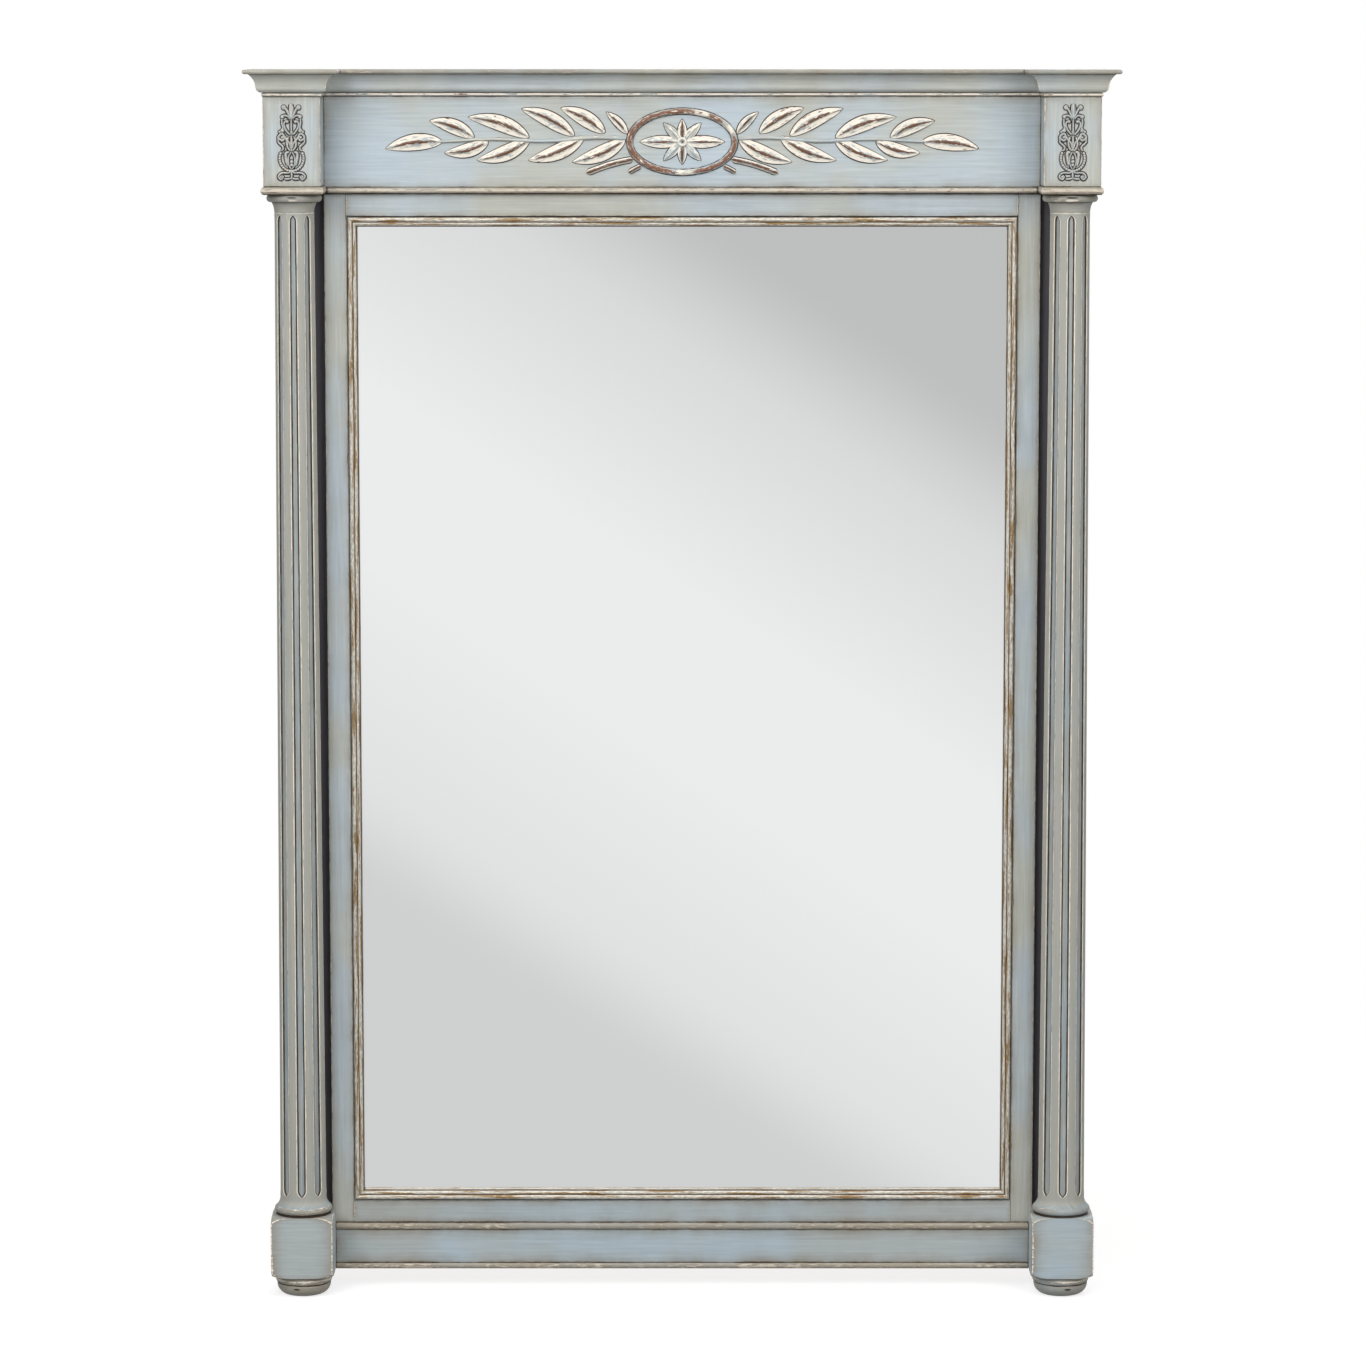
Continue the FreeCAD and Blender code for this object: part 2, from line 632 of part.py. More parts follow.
def cap_board():
    """One thin board over everything, broken forward over the dies."""
    side = over_die(cap_edge(), cap_z)
    centre = front_moulding(cap_edge(), cap_z, (-die_in_x, die_in_x), frieze_y, wall_y)
    return joined([centre, side, mirrored(side)])


# ------------------------------------------------------------------------- carving
def leaf_wire(base, tip, width, y):
    """A pointed oval from base to tip, both (x, z), in the plane at y."""
    along = Vector(tip[0] - base[0], 0, tip[1] - base[1])
    across = along.cross(BACK).normalize() * (width / 2)
    start = Vector(base[0], y, base[1])
    end = start + along
    middle = start + along * 0.5
    return Part.Wire([Part.Arc(start, middle + across, end).toShape(),
                      Part.Arc(end, middle - across, start).toShape()])


def leaf(base, tip, width, y, depth):
    """A leaf that stands depth proud of the plane y, bevelled up to a narrow midrib."""
    run = (tip[0] - base[0], tip[1] - base[1])
    rib_base = (base[0] + 0.1 * run[0], base[1] + 0.1 * run[1])
    rib_tip = (base[0] + 0.88 * run[0], base[1] + 0.88 * run[1])
    sections = [leaf_wire(base, tip, width, y), leaf_wire(base, tip, width, y - depth * 0.4),
                leaf_wire(rib_base, rib_tip, width * 0.22, y - depth)]
    return Part.makeLoft(sections, True, True)


def bar(start, end, width, y, depth):
    """A straight carved stalk between two (x, z) points."""
    along = Vector(end[0] - start[0], 0, end[1] - start[1])
    across = along.cross(BACK).normalize() * (width / 2)
    foot = Vector(start[0], y, start[1])
    steps = [foot + across, foot + along + across * 0.7, foot + along - across * 0.7, foot - across]
    return prism(steps, BACK * -depth)


def ellipse_disc(half_width, half_height, y, depth):
    """An upright elliptical disc round the middle of the frieze."""
    if half_width >= half_height:
        ellipse = Part.Ellipse(ORIGIN, half_width, half_height)
        turn = 0
    else:
        ellipse = Part.Ellipse(ORIGIN, half_height, half_width)
        turn = 90
    face = Part.Face(Part.Wire([ellipse.toShape()]))
    face.rotate(ORIGIN, UP, turn)
    face.rotate(ORIGIN, RIGHT, 90)
    face.translate(Vector(0, y, carving_z))
    return face.extrude(BACK * -depth)


def oval_ring():
    """The oval band round the rosette."""
    outer = ellipse_disc(RING_HALF_WIDTH, RING_HALF_HEIGHT, frieze_y, CARVING_DEPTH)
    inner = ellipse_disc(RING_HALF_WIDTH - RING_BAND, RING_HALF_HEIGHT - RING_BAND,
                         frieze_y + REACH, CARVING_DEPTH + 2 * REACH)
    return outer.cut(inner)


def rosette():
    """Eight petals, long ones to the sides, round a button."""
    petals = []
    for turn in range(8):
        angle = math.radians(45.0 * turn)
        if turn % 4 == 0:
            reach, width = ROSETTE_LENGTH, PETAL_LONG_WIDTH
        elif turn % 2 == 0:
            reach, width = ROSETTE_HEIGHT, PETAL_WIDTH
        else:
            reach, width = ROSETTE_DIAGONAL, PETAL_WIDTH
        tip = (reach * math.cos(angle), carving_z + reach * math.sin(angle))
        petals.append(leaf((0, carving_z), tip, width, frieze_y, CARVING_DEPTH * 0.8))
    button = rod(ROSETTE_BUTTON_RADIUS, CARVING_DEPTH, Vector(0, frieze_y, carving_z), BACK * -1)
    return joined([button] + petals)


def laurel_leaves():
    """Leaves of the right-hand spray: where each starts beyond the ring and how high, how far it
    runs and how far it rises, all in hundredths of the stalk, and its width."""
    full = LEAF_WIDTH
    upper = [(6.2, 1.7, 29.1, 16.4, full), (21.6, 1.7, 35.1, 15.9, full), (49.8, 1.5, 35.8, 11.9, full),
             (79.3, 1.1, 27.2, 10.6, full), (99.6, 0.2, 30.8, -3.9, END_LEAF_WIDTH)]
    lower = [(0.7, 0.9, 28.9, -11.6, full), (22.4, 1.5, 30.6, -11.4, full), (52.2, 0.9, 28.7, -10.6, full),
             (74.6, 0.6, 23.9, -6.7, SMALL_LEAF_WIDTH)]
    beside_ring = [(0.6, 6.0, 10.3, 9.9, SMALL_LEAF_WIDTH)]
    return upper, lower, beside_ring


def spray_leaf(offset, height, run, rise, width):
    """One leaf of the right-hand spray, its place in hundredths of the stalk."""
    unit = STALK_LENGTH / 100
    base = (RING_HALF_WIDTH + offset * unit, carving_z + height * unit)
    tip = (base[0] + run * unit, base[1] + rise * unit)
    return leaf(base, tip, width, frieze_y, CARVING_DEPTH)


def laurel_spray():
    """Right-hand spray: leaves in pairs off one stalk, and a small leaf against the ring."""
    ring = RING_HALF_WIDTH
    stalk = bar((ring + STALK_WIDTH / 4, carving_z + STALK_WIDTH / 2),
                (ring + STALK_LENGTH, carving_z + STALK_WIDTH / 4), STALK_WIDTH, frieze_y, CARVING_DEPTH * 0.6)
    upper, lower, beside_ring = laurel_leaves()
    spray = joined([stalk] + [spray_leaf(*place) for place in upper + lower])
    return [spray] + [spray_leaf(*place) for place in beside_ring]


def crossed_stems():
    """The cut ends of both sprays, which show below the ring on the right."""
    stems = []
    stem = (STEM_LEAVES_RING_AT, STEM_LENGTH, STEM_WIDTH, STEM_SLOPE)
    stub = (STUB_LEAVES_RING_AT, STUB_LENGTH, STUB_WIDTH, STUB_SLOPE)
    for angle, length, width, slope in (stem, stub):
        turn = math.radians(angle)
        start = ((RING_HALF_WIDTH + STEM_WIDTH / 2) * math.cos(turn),
                 carving_z + (RING_HALF_HEIGHT + STEM_WIDTH / 2) * math.sin(turn))
        run = math.radians(slope)
        end = (start[0] + length * math.cos(run), start[1] + length * math.sin(run))
        stems.append(bar(start, end, width, frieze_y, CARVING_DEPTH * 0.8))
    return stems


def applique():
    """The pierced scroll ornament on the right-hand die, in twentieths of its height."""
    unit = APPLIQUE_HEIGHT / 20
    low = die_z + (astragal_z - die_z - APPLIQUE_HEIGHT) / 2

    def at(across, up):
        return (axis_x + across * unit, low + up * unit)

    def sprig(base, tip, width):
        wire = leaf_wire(at(*base), at(*tip), width * unit, die_front_y)
        return Part.Face(wire).extrude(BACK * -APPLIQUE_DEPTH)

    def curl(centre, radius):
        x, z = at(*centre)
        start = Vector(x, die_front_y, z)
        outer = rod(radius * unit, APPLIQUE_DEPTH, start, BACK * -1)
        return outer.cut(rod(radius * unit * 0.4, APPLIQUE_DEPTH, start, BACK * -1))

    parts = [sprig((0, 0.8), (0, 16.6), 1.5), sprig((0, 15.6), (0, 20), 1.6)]
    parts.append(sprig((-3.4, 0.6), (3.4, 0.6), 1.2))
    for side in (-1, 1):
        parts.append(sprig((0, 14.8), (side * 2.6, 19.2), 1.4))
        parts.append(curl((side * 2.2, 18.6), 0.7))
        parts.append(sprig((side * 0.2, 11.2), (side * 2.4, 16.4), 0.9))
        parts.append(sprig((side * 2.4, 16.6), (side * 2.6, 12.0), 0.8))
        parts.append(curl((side * 2.45, 11.2), 1.15))
        parts.append(sprig((side * 0.1, 7.0), (side * 1.9, 12.0), 1.2))
        parts.append(sprig((side * 3.2, 11.4), (side * 2.6, 6.4), 1.1))
        parts.append(sprig((side * 2.9, 8.0), (side * 2.0, 3.2), 1.3))
        parts.append(sprig((side * 2.6, 4.6), (0, 2.2), 1.2))
        parts.append(sprig((side * 1.4, 7.2), (side * 1.0, 3.0), 1.0))
        parts.append(sprig((0, 3.0), (side * 3.2, 1.0), 1.0))
        parts.append(curl((side * 2.8, 0.95), 0.9))
    return joined(parts)


# ----------------------------------------------------------------- hanging fittings
def hanger_strap(x, holes):
    """A strap folded round the ring's bar, screwed flat to the back of the hanging rail."""
    half = STRAP_WIDTH / 2
    z = (strap_top_z - STRAP_LENGTH, strap_top_z)
    plate = board((x - half, x + half), (rail_back_y, rail_back_y + STRAP_THICKNESS), z)
    bore = RING_WIRE_RADIUS + RING_RUNNING_CLEARANCE
    start = Vector(x - half, hinge_y, strap_top_z)
    barrel = rod(bore + STRAP_THICKNESS, STRAP_WIDTH, start, RIGHT)
    inside = rod(bore, STRAP_WIDTH + 2 * REACH, start - RIGHT * REACH, RIGHT)
    shape = joined([plate, barrel]).cut(inside)
    for hole in holes:
        shape = shape.cut(hole)
    return shape


def hanger_ring(x):
    """A D-shaped ring of round wire hanging from its straight bar."""
    bend = RING_BEND_RADIUS
    bow = leg_x
    leg_end = -(RING_REACH - RING_WIRE_RADIUS - bow)
    slack = bend * (1 - math.sqrt(0.5))

    def at(across, up):
        return Vector(x + across, hinge_y, strap_top_z + up)

    right_corner = Part.Arc(at(bow - bend, 0), at(bow - slack, -slack), at(bow, -bend)).toShape()
    left_corner = Part.Arc(at(-bow, -bend), at(slack - bow, -slack), at(bend - bow, 0)).toShape()
    edges = [Part.LineSegment(at(0, 0), at(bow - bend, 0)).toShape(), right_corner,
             Part.LineSegment(at(bow, -bend), at(bow, leg_end)).toShape(),
             Part.Arc(at(bow, leg_end), at(0, leg_end - bow), at(-bow, leg_end)).toShape(),
             Part.LineSegment(at(-bow, leg_end), at(-bow, -bend)).toShape(), left_corner,
             Part.LineSegment(at(bend - bow, 0), at(0, 0)).toShape()]
    section = Part.Wire([Part.Circle(at(0, 0), RIGHT, RING_WIRE_RADIUS).toShape()])
    return Part.Wire(edges).makePipeShell([section], True, False)


# --------------------------------------------------------------------------- saving
def save(name, shapes):
    """Writes one node: a solid, or a group of separate solids."""
    parts = shapes if isinstance(shapes, list) else [shapes]
    solids = [solid for part in parts for solid in part.Solids]
    shape = solids[0] if len(solids) == 1 else Part.makeCompound(solids)
    shape.exportStep("parts/" + name + ".step")
    print(name, len(solids), "solids", round(shape.Volume), "mm3", shape.isValid())


def save_pair(name, shape):
    """Writes a right-hand piece and its mirror image."""
    parts = shape if isinstance(shape, list) else [shape]
    save(name + "_right", parts)
    save(name + "_left", [mirrored(part) for part in parts])


def save_ground_frame():
    board_places = board_screw_places()
    board_holes = screw_holes(board_places, rail_back_y)
    hanger_holes = screw_holes(hanger_screw_places(), rail_back_y + STRAP_THICKNESS)
    right_post = post()
    back = back_board()
    hanging_rail = rail(opening_top_z, hanging_rail_top_z)
    bottom_rail = rail(PLINTH_FLOOR_GAP, opening_z)
    for hole in board_holes:
        right_post = right_post.cut(hole)
        back = back.cut(hole)
        hanging_rail = hanging_rail.cut(hole)
        bottom_rail = bottom_rail.cut(hole)
    for hole in hanger_holes:
        hanging_rail = hanging_rail.cut(hole)
    save_pair("post", right_post)
    save("rail_bottom", bottom_rail)
    save("rail_hanging", hanging_rail)
    save("rail_cap", rail(cap_z - CAP_RAIL_HEIGHT, cap_z))
    save("back_board", back)
    save("back_board_screws", [screw(x, z, rail_back_y) for x, z in board_places])
    save("glazing_blocks", glazing_blocks())


def save_front():
    save("mirror_glass", mirror_glass())
    for name, shape in sight_beads().items():
        save(name, shape)
    save_pair("facing_stile", facing_stile())
    save("facing_rail_top", facing_rail(bead_top_z, entablature_z))
    save("facing_rail_bottom", facing_rail(facing_z, bead_z))
    save("plinth_board", plinth_board())
    save("plinth_cap_strip", plinth_strip(plinth_top_z, PLINTH_CAP_STRIP))
    save("plinth_foot_strip", plinth_strip(PLINTH_FLOOR_GAP, PLINTH_FOOT_STRIP))


def save_columns():
    save_pair("foot", foot())
    save_pair("column_base", column_base())
    save_pair("column_shaft", fluted_shaft())
    save_pair("capital", capital())


def save_entablature():
    save_pair("die_moulding", die_moulding())
    save_pair("die", die())
    save("frieze_moulding", frieze_moulding())
    save("frieze_board", frieze_board())
    astragal = round_edge(ASTRAGAL_HEIGHT, ASTRAGAL_PROUD)
    save_pair("astragal", clear_of_post(over_die(astragal, astragal_z)))
    save("astragal_centre", between_dies(astragal, astragal_z, frieze_y))
    save_pair("crown", clear_of_post(over_die(crown_edge(), crown_z)))
    save("crown_centre", between_dies(crown_edge(), crown_z, frieze_y))
    save("cap_board", cap_board())


def save_carving():
    save_pair("laurel_spray", laurel_spray())
    save_pair("crossed_stems", crossed_stems())
    save("oval_ring", oval_ring())
    save("rosette", rosette())
    save_pair("applique", applique())


def save_hangers():
    places = hanger_screw_places()
    y_head = rail_back_y + STRAP_THICKNESS
    holes = screw_holes(places, y_head)
    save("hanger_strap_right", hanger_strap(hanger_x, holes))
    save("hanger_strap_left", hanger_strap(-hanger_x, holes))
    save("hanger_ring_right", hanger_ring(hanger_x))
    save("hanger_ring_left", hanger_ring(-hanger_x))
    save("hanger_screws", [screw(x, z, y_head) for x, z in places])


os.makedirs("parts", exist_ok=True)
save_ground_frame()
save_front()
save_columns()
save_entablature()
save_carving()
save_hangers()
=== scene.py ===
"""Looks of a painted trumeau mirror: chalky paint, rubbed carving, a leafed bead and old fittings."""
import logging
import math
from dataclasses import dataclass, replace
from enum import Enum
from functools import cache
from itertools import product
from typing import Any, Iterable, Sequence, Union

import bmesh
import bpy
import numpy as np
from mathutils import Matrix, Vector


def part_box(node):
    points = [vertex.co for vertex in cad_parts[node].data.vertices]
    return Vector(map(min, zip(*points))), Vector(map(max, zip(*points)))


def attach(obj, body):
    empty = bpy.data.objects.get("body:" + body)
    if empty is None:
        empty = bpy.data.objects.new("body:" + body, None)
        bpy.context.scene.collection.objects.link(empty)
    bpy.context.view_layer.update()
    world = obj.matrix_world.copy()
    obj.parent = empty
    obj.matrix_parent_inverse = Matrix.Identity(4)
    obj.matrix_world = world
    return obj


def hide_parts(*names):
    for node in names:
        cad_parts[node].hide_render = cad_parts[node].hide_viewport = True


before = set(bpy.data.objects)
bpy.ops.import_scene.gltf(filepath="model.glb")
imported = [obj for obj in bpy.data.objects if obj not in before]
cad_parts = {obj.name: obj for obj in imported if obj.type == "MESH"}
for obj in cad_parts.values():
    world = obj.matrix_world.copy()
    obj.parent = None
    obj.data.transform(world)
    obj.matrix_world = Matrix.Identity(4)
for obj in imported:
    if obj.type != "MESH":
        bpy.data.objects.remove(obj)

log = logging.getLogger("trumeau_mirror")

Array = np.ndarray
Pair = tuple[float, float]
Step = Union[Pair, tuple[Pair, Pair]]
Socket = bpy.types.NodeSocket

MM = 0.001
BODY = "mirror"
UV_NAME = "member"
MARKS = ("rubbed", "quirk", "heart")
WALL = max(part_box(node)[1][1] for node in ("die_right", "post_right"))
POST_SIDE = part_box("post_right")[1][0]
UNPAINTED = 1.5 * MM
WAX_RISE = 0.4
FORWARDS = np.array([0.0, -1.0, 0.0])
UPWARDS = np.array([0.0, 0.0, 1.0])
ROUND = 2 * math.pi


def corners_of(node: str) -> tuple[Array, Array]:
    """Lowest and highest corner of a CAD node, in millimetres."""
    low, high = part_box(node)
    return np.array(low) / MM, np.array(high) / MM


def near(gap: Array | float, reach: float) -> Array:
    """A bell that is 1 where gap is nought and falls off as exp(-(gap / reach) ** 2)."""
    return np.exp(-(gap / reach) ** 2)


# ---------------------------------------------------------------- outlines and their marks
def through_three(start: Pair, via: Pair, end: Pair, spacing: float) -> Array:
    """Points on the circular arc from start through via to end.

    The centre is where the perpendicular bisectors of start-via and via-end cross. The angle runs
    evenly from start to end on the side that passes via.

    Args:
        start: First point, in millimetres.
        via: A point on the way.
        end: Last point.
        spacing: About how far apart the points are.

    Returns:
        Points (n, 2), without the last one.
    """
    a, b, c = (np.array(p, float) for p in (start, via, end))
    centre = np.linalg.solve(2 * np.array([b - a, c - b]), np.array([b @ b - a @ a, c @ c - b @ b]))
    first, middle, last = (math.atan2(*(p - centre)[::-1]) for p in (a, b, c))
    sweep = (last - first) % ROUND
    if (middle - first) % ROUND > sweep:
        sweep -= ROUND
    radius = float(np.hypot(*(a - centre)))
    count = max(6, int(abs(sweep) * radius / spacing))
    angles = first + sweep * np.arange(count) / count
    return centre + radius * np.column_stack([np.cos(angles), np.sin(angles)])


def straight_run(start: Pair, end: Pair) -> Array:
    """Points from start towards end, close together near both ends and far apart between.

    Args:
        start: First point, in millimetres.
        end: Last point.

    Returns:
        Points (n, 2), without the last one.
    """
    a, b = np.array(start, float), np.array(end, float)
    length = float(np.hypot(*(b - a)))
    places = np.array([0, 0.3, 0.7, 1.2, 1.9, 3.0, 5.0, 8.0, 14.0, 26.0, 50.0])
    places = places[places < length * 0.49]
    places = np.concatenate([places, (length - places[::-1])[:-1]])
    return a + (b - a) * (places / length)[:, None]


@dataclass
class Outline:
    """A closed profile as (outwards, upwards) points in millimetres, with its marks.

    Attributes:
        points: The loop (n, 2), first point not repeated.
        rubbed: 0 to 1, how near a point is to an arris that hands and cloths wear.
        quirk: 0 to 1, how near it is to a hollow corner or a joint that holds dark wax.
        heart: 0 to 1, the parts that are painted or worn apart from the rest.
    """

    points: Array
    rubbed: Array
    quirk: Array
    heart: Array

    @classmethod
    def traced(cls, steps: Sequence[Step], seams: Iterable[Pair] = (), reach: float = 1.1,
               spacing: float = 0.7) -> "Outline":
        """Follows straight runs and arcs round a closed loop and marks its corners.

        A corner's mark falls off as exp(-distance / reach) along the loop. Corners that stick out are
        rubbed, corners that go in and the seams hold wax. Two passes of smoothing ease the corners.

        Args:
            steps: Points, or (via, end) arcs, round the loop.
            seams: Points where another member meets this one.
            reach: How far a mark spreads, in millimetres.
            spacing: Spacing of points on arcs.

        Returns:
            The marked outline.
        """
        parts = []
        here = steps[0]
        for step in list(steps[1:]) + [steps[0]]:
            if isinstance(step[0], tuple):
                parts.append(through_three(here, step[0], step[1], spacing))
                here = step[1]
            elif math.dist(here, step) > 1e-6:
                parts.append(straight_run(here, step))
                here = step
        loop = np.vstack(parts)
        ahead = np.roll(loop, -1, 0) - loop
        length = np.hypot(*ahead.T)
        heading = np.arctan2(ahead[:, 1], ahead[:, 0])
        turn = (heading - np.roll(heading, 1) + math.pi) % ROUND - math.pi
        turn *= np.sign(turn.sum())
        place = np.concatenate([[0], np.cumsum(length)[:-1]])
        gap = np.abs(place[:, None] - place[None])
        close = np.exp(-np.minimum(gap, length.sum() - gap) / reach)
        rubbed, quirk = (close @ np.maximum(side * turn, 0) / (math.pi / 2) for side in (1, -1))
        for seam in seams:
            close = np.exp(-np.hypot(*(loop - np.array(seam)).T) / (reach * 1.4))
            quirk = np.maximum(quirk, close)
            rubbed *= 1 - close
        for _ in range(2):
            loop = (np.roll(loop, 1, 0) + 2 * loop + np.roll(loop, -1, 0)) / 4
        return cls(loop, rubbed.clip(0, 1), quirk.clip(0, 1), np.zeros(len(loop)))


# ------------------------------------------------------------------------ surfaces to meshes
@dataclass
class Skin:
    """One surface of two parameters, as a grid of points with its marks.

    Attributes:
        points: Places (m, n, 3), in metres. Rows follow the first parameter.
        rubbed: Wear at each point (m, n).
        quirk: Dark wax at each point (m, n).
        heart: Parts with their own colour (m, n).
        member: Distance along and across the member (m, n, 2) in metres, for brush and grain.
        capped: Whether flat faces close the first and last rows.
    """

    points: Array
    rubbed: Array
    quirk: Array
    heart: Array
    member: Array
    capped: bool = False

    def as_wax(self) -> "Skin":
        """The same skin, all dark wax."""
        self.quirk[:], self.rubbed[:], self.heart[:] = 1.0, 0.0, 0.0
        return self


def carried(outline: Outline, origins: Array, outs: Array, ups: Array, worn: Array | float = 0.0,
            waxed: Array | float = 0.0, capped: bool = True) -> Skin:
    """The surface that an outline sweeps: origin + outwards x out + upwards x up at each station.

    Args:
        outline: The profile, in millimetres.
        origins: Stations (m, 3) on the path, in metres.
        outs: The outward direction (m, 3) at each, longer at a mitre.
        ups: The upward direction, one or (m, 3).
        worn: Extra wear, one or (m).
        waxed: Extra wax, one or (m).
        capped: Whether the ends are closed.

    Returns:
        The swept surface with its seam closed.
    """
    loop = np.vstack([outline.points, outline.points[:1]]) * MM
    ups = np.broadcast_to(ups, outs.shape)
    points = (origins[:, None, :] + loop[:, 0][None, :, None] * outs[:, None, :]
              + loop[:, 1][None, :, None] * ups[:, None, :])
    worn, waxed, none = (np.zeros(len(origins)) + mark for mark in (worn, waxed, 0.0))
    rubbed, quirk, heart = (
        np.maximum(np.append(marks, marks[0]), stations[:, None])
        for marks, stations in ((outline.rubbed, worn), (outline.quirk, waxed), (outline.heart, none)))
    along = np.concatenate([[0], np.cumsum(np.linalg.norm(np.diff(origins, axis=0), axis=1))])
    across = np.concatenate([[0], np.cumsum(np.hypot(*np.diff(loop, axis=0).T))])
    member = np.stack(np.broadcast_arrays(along[:, None], across[None, :]), axis=2)
    return Skin(points, rubbed * (1 - waxed[:, None]), quirk, heart, member, capped)


def turned(outline: Outline, centre: Array, count: int = 120) -> Skin:
    """A surface of revolution: the outline carried round the upright line through centre.

    Args:
        outline: (radius, height) points whose loop starts and ends on the axis.
        centre: Where the axis meets height nought, in metres.
        count: Stations round the turn.

    Returns:
        The turned surface.
    """
    angle = np.linspace(0, ROUND, count + 1)
    outs = np.column_stack([np.cos(angle), np.sin(angle), 0 * angle])
    skin = carried(outline, np.tile(centre, (count + 1, 1)), outs, UPWARDS, capped=False)
    skin.member[..., 0] = (angle * float(outline.points[:, 0].max()) * MM)[:, None]
    return skin


def boss(outline: Outline, place: Sequence[float], count: int) -> Skin:
    """A turned form whose axis runs forwards from a point on a front face.

    Args:
        outline: (radius, rise) points whose loop starts and ends on the axis.
        place: The point on the face, in millimetres.
        count: Stations round the turn.

    Returns:
        The turned surface.
    """
    skin = turned(outline, np.zeros(3), count)
    x, z, rise = np.moveaxis(skin.points, 2, 0)
    skin.points = np.stack([x, -rise, z], axis=2) + np.array(place, float) * MM
    return skin


def course(corners: Sequence[Pair], low: float, start_seam: bool = True,
           end_seam: bool = True) -> tuple[Array, Array, Array, Array, Array]:
    """Stations of a moulding that runs level through plan corners, mitred at each, outwards to the right.

    The outward direction at a corner is the sum of both sides' outward normals, scaled so that every
    profile point keeps its distance from each side. Stations just before and after a corner use the
    corner's own direction, so they lie on the same flat lengths.

    Args:
        corners: Plan points (x, y), in millimetres.
        low: Height of profile height nought, in millimetres.
        start_seam: Whether the first end meets another member.
        end_seam: Whether the last end does.

    Returns:
        origins, outs, ups, worn and waxed for carried().
    """
    plan = np.array(corners, float)
    run = np.diff(plan, axis=0)
    run /= np.hypot(*run.T)[:, None]
    normal = np.column_stack([run[:, 1], -run[:, 0]])
    last = len(plan) - 1
    rows = []
    for i, corner in enumerate(plan):
        if i in (0, last):
            side, sign, seam = (0, 1, start_seam) if i == 0 else (last - 1, -1, end_seam)
            for offset, wax in ((0.0, 1.0), (1.5, 0.45), (5.0, 0.0))[::sign]:
                rows.append([*(corner + sign * offset * run[side]), *normal[side], 0.0, wax * seam])
            continue
        mitre = (normal[i - 1] + normal[i]) / (1 + normal[i - 1] @ normal[i])
        sharp = float(run[i - 1][0] * run[i][1] - run[i - 1][1] * run[i][0] > 0)
        for offset, mark in ((-4.0, 0.0), (-1.5, 0.35), (0.0, 0.9), (1.5, 0.35), (4.0, 0.0)):
            along = run[i - 1] if offset <= 0 else run[i]
            rows.append([*(corner + offset * along), *mitre, mark * sharp, mark * (1 - sharp)])
    table = np.array(rows)
    flat = np.zeros(len(table))
    origins = np.column_stack([table[:, :2], flat + low]) * MM
    return origins, np.column_stack([table[:, 2:4], flat]), UPWARDS, table[:, 4], table[:, 5]


def board(low: Sequence[float], high: Sequence[float], ease: float, grain: int,
          seams: str = "") -> list[Skin]:
    """A board with softened arrises: each point of a gridded box is pulled onto a rounded box.

    A rounded box is every point at the ease radius from an inner box, so p goes to
    q + ease x (p - q) / |p - q| with q the nearest point of the inner box.

    Args:
        low: Lowest corner, in millimetres.
        high: Highest corner.
        ease: Radius of the arrises.
        grain: Axis that the wood and the brush run along, 0, 1 or 2.
        seams: Sides that meet another member, such as "-x+x+z", which hold wax and don't wear.

    Returns:
        Six skins whose edges meet.
    """
    low, high = np.array(low, float) * MM, np.array(high, float) * MM
    radius = min(ease * MM, float((high - low).min()) * 0.45)

    def lines(axis: int) -> Array:
        """Grid lines, close together near both ends."""
        span = high[axis] - low[axis]
        places = np.concatenate([np.array([0, 0.25, 0.6, 1.0]) * radius,
                                 radius + np.array([0.6, 1.4, 2.6, 4.5, 8.0, 14.0]) * MM])
        places = places[places < span * 0.48]
        return low[axis] + np.concatenate([places, span - places[::-1]])

    sides = list(product(range(3), (-1, 1)))
    held = [(axis, sign) for axis, sign in sides if "-+"[sign > 0] + "xyz"[axis] in seams]
    skins = []
    for axis, sign in sides:
        u_axis, v_axis = [a for a in range(3) if a != axis]
        u, v = np.meshgrid(lines(u_axis), lines(v_axis), indexing="ij")
        flat = np.empty(u.shape + (3,))
        flat[..., u_axis], flat[..., v_axis] = u, v
        flat[..., axis] = (high if sign > 0 else low)[axis]
        inner = flat.clip(low + radius, high - radius)
        away = flat - inner
        points = inner + radius * away / np.linalg.norm(away, axis=2, keepdims=True)
        rubbed, quirk = 0 * u, 0 * u
        for side, end in product((u_axis, v_axis), (-1, 1)):
            gap = np.abs(flat[..., side] - (high if end > 0 else low)[side]) / MM
            if (side, end) in held:
                quirk = np.maximum(quirk, np.exp(-gap / 1.6))
            elif (axis, sign) not in held:
                rubbed = np.maximum(rubbed, np.exp(-gap / 1.3))
        others = [a for a in range(3) if a != grain]
        member = np.stack([points[..., grain], points[..., others].sum(axis=2)], axis=2)
        skins.append(Skin(points, rubbed * (1 - quirk), quirk, 0 * u, member))
    return skins


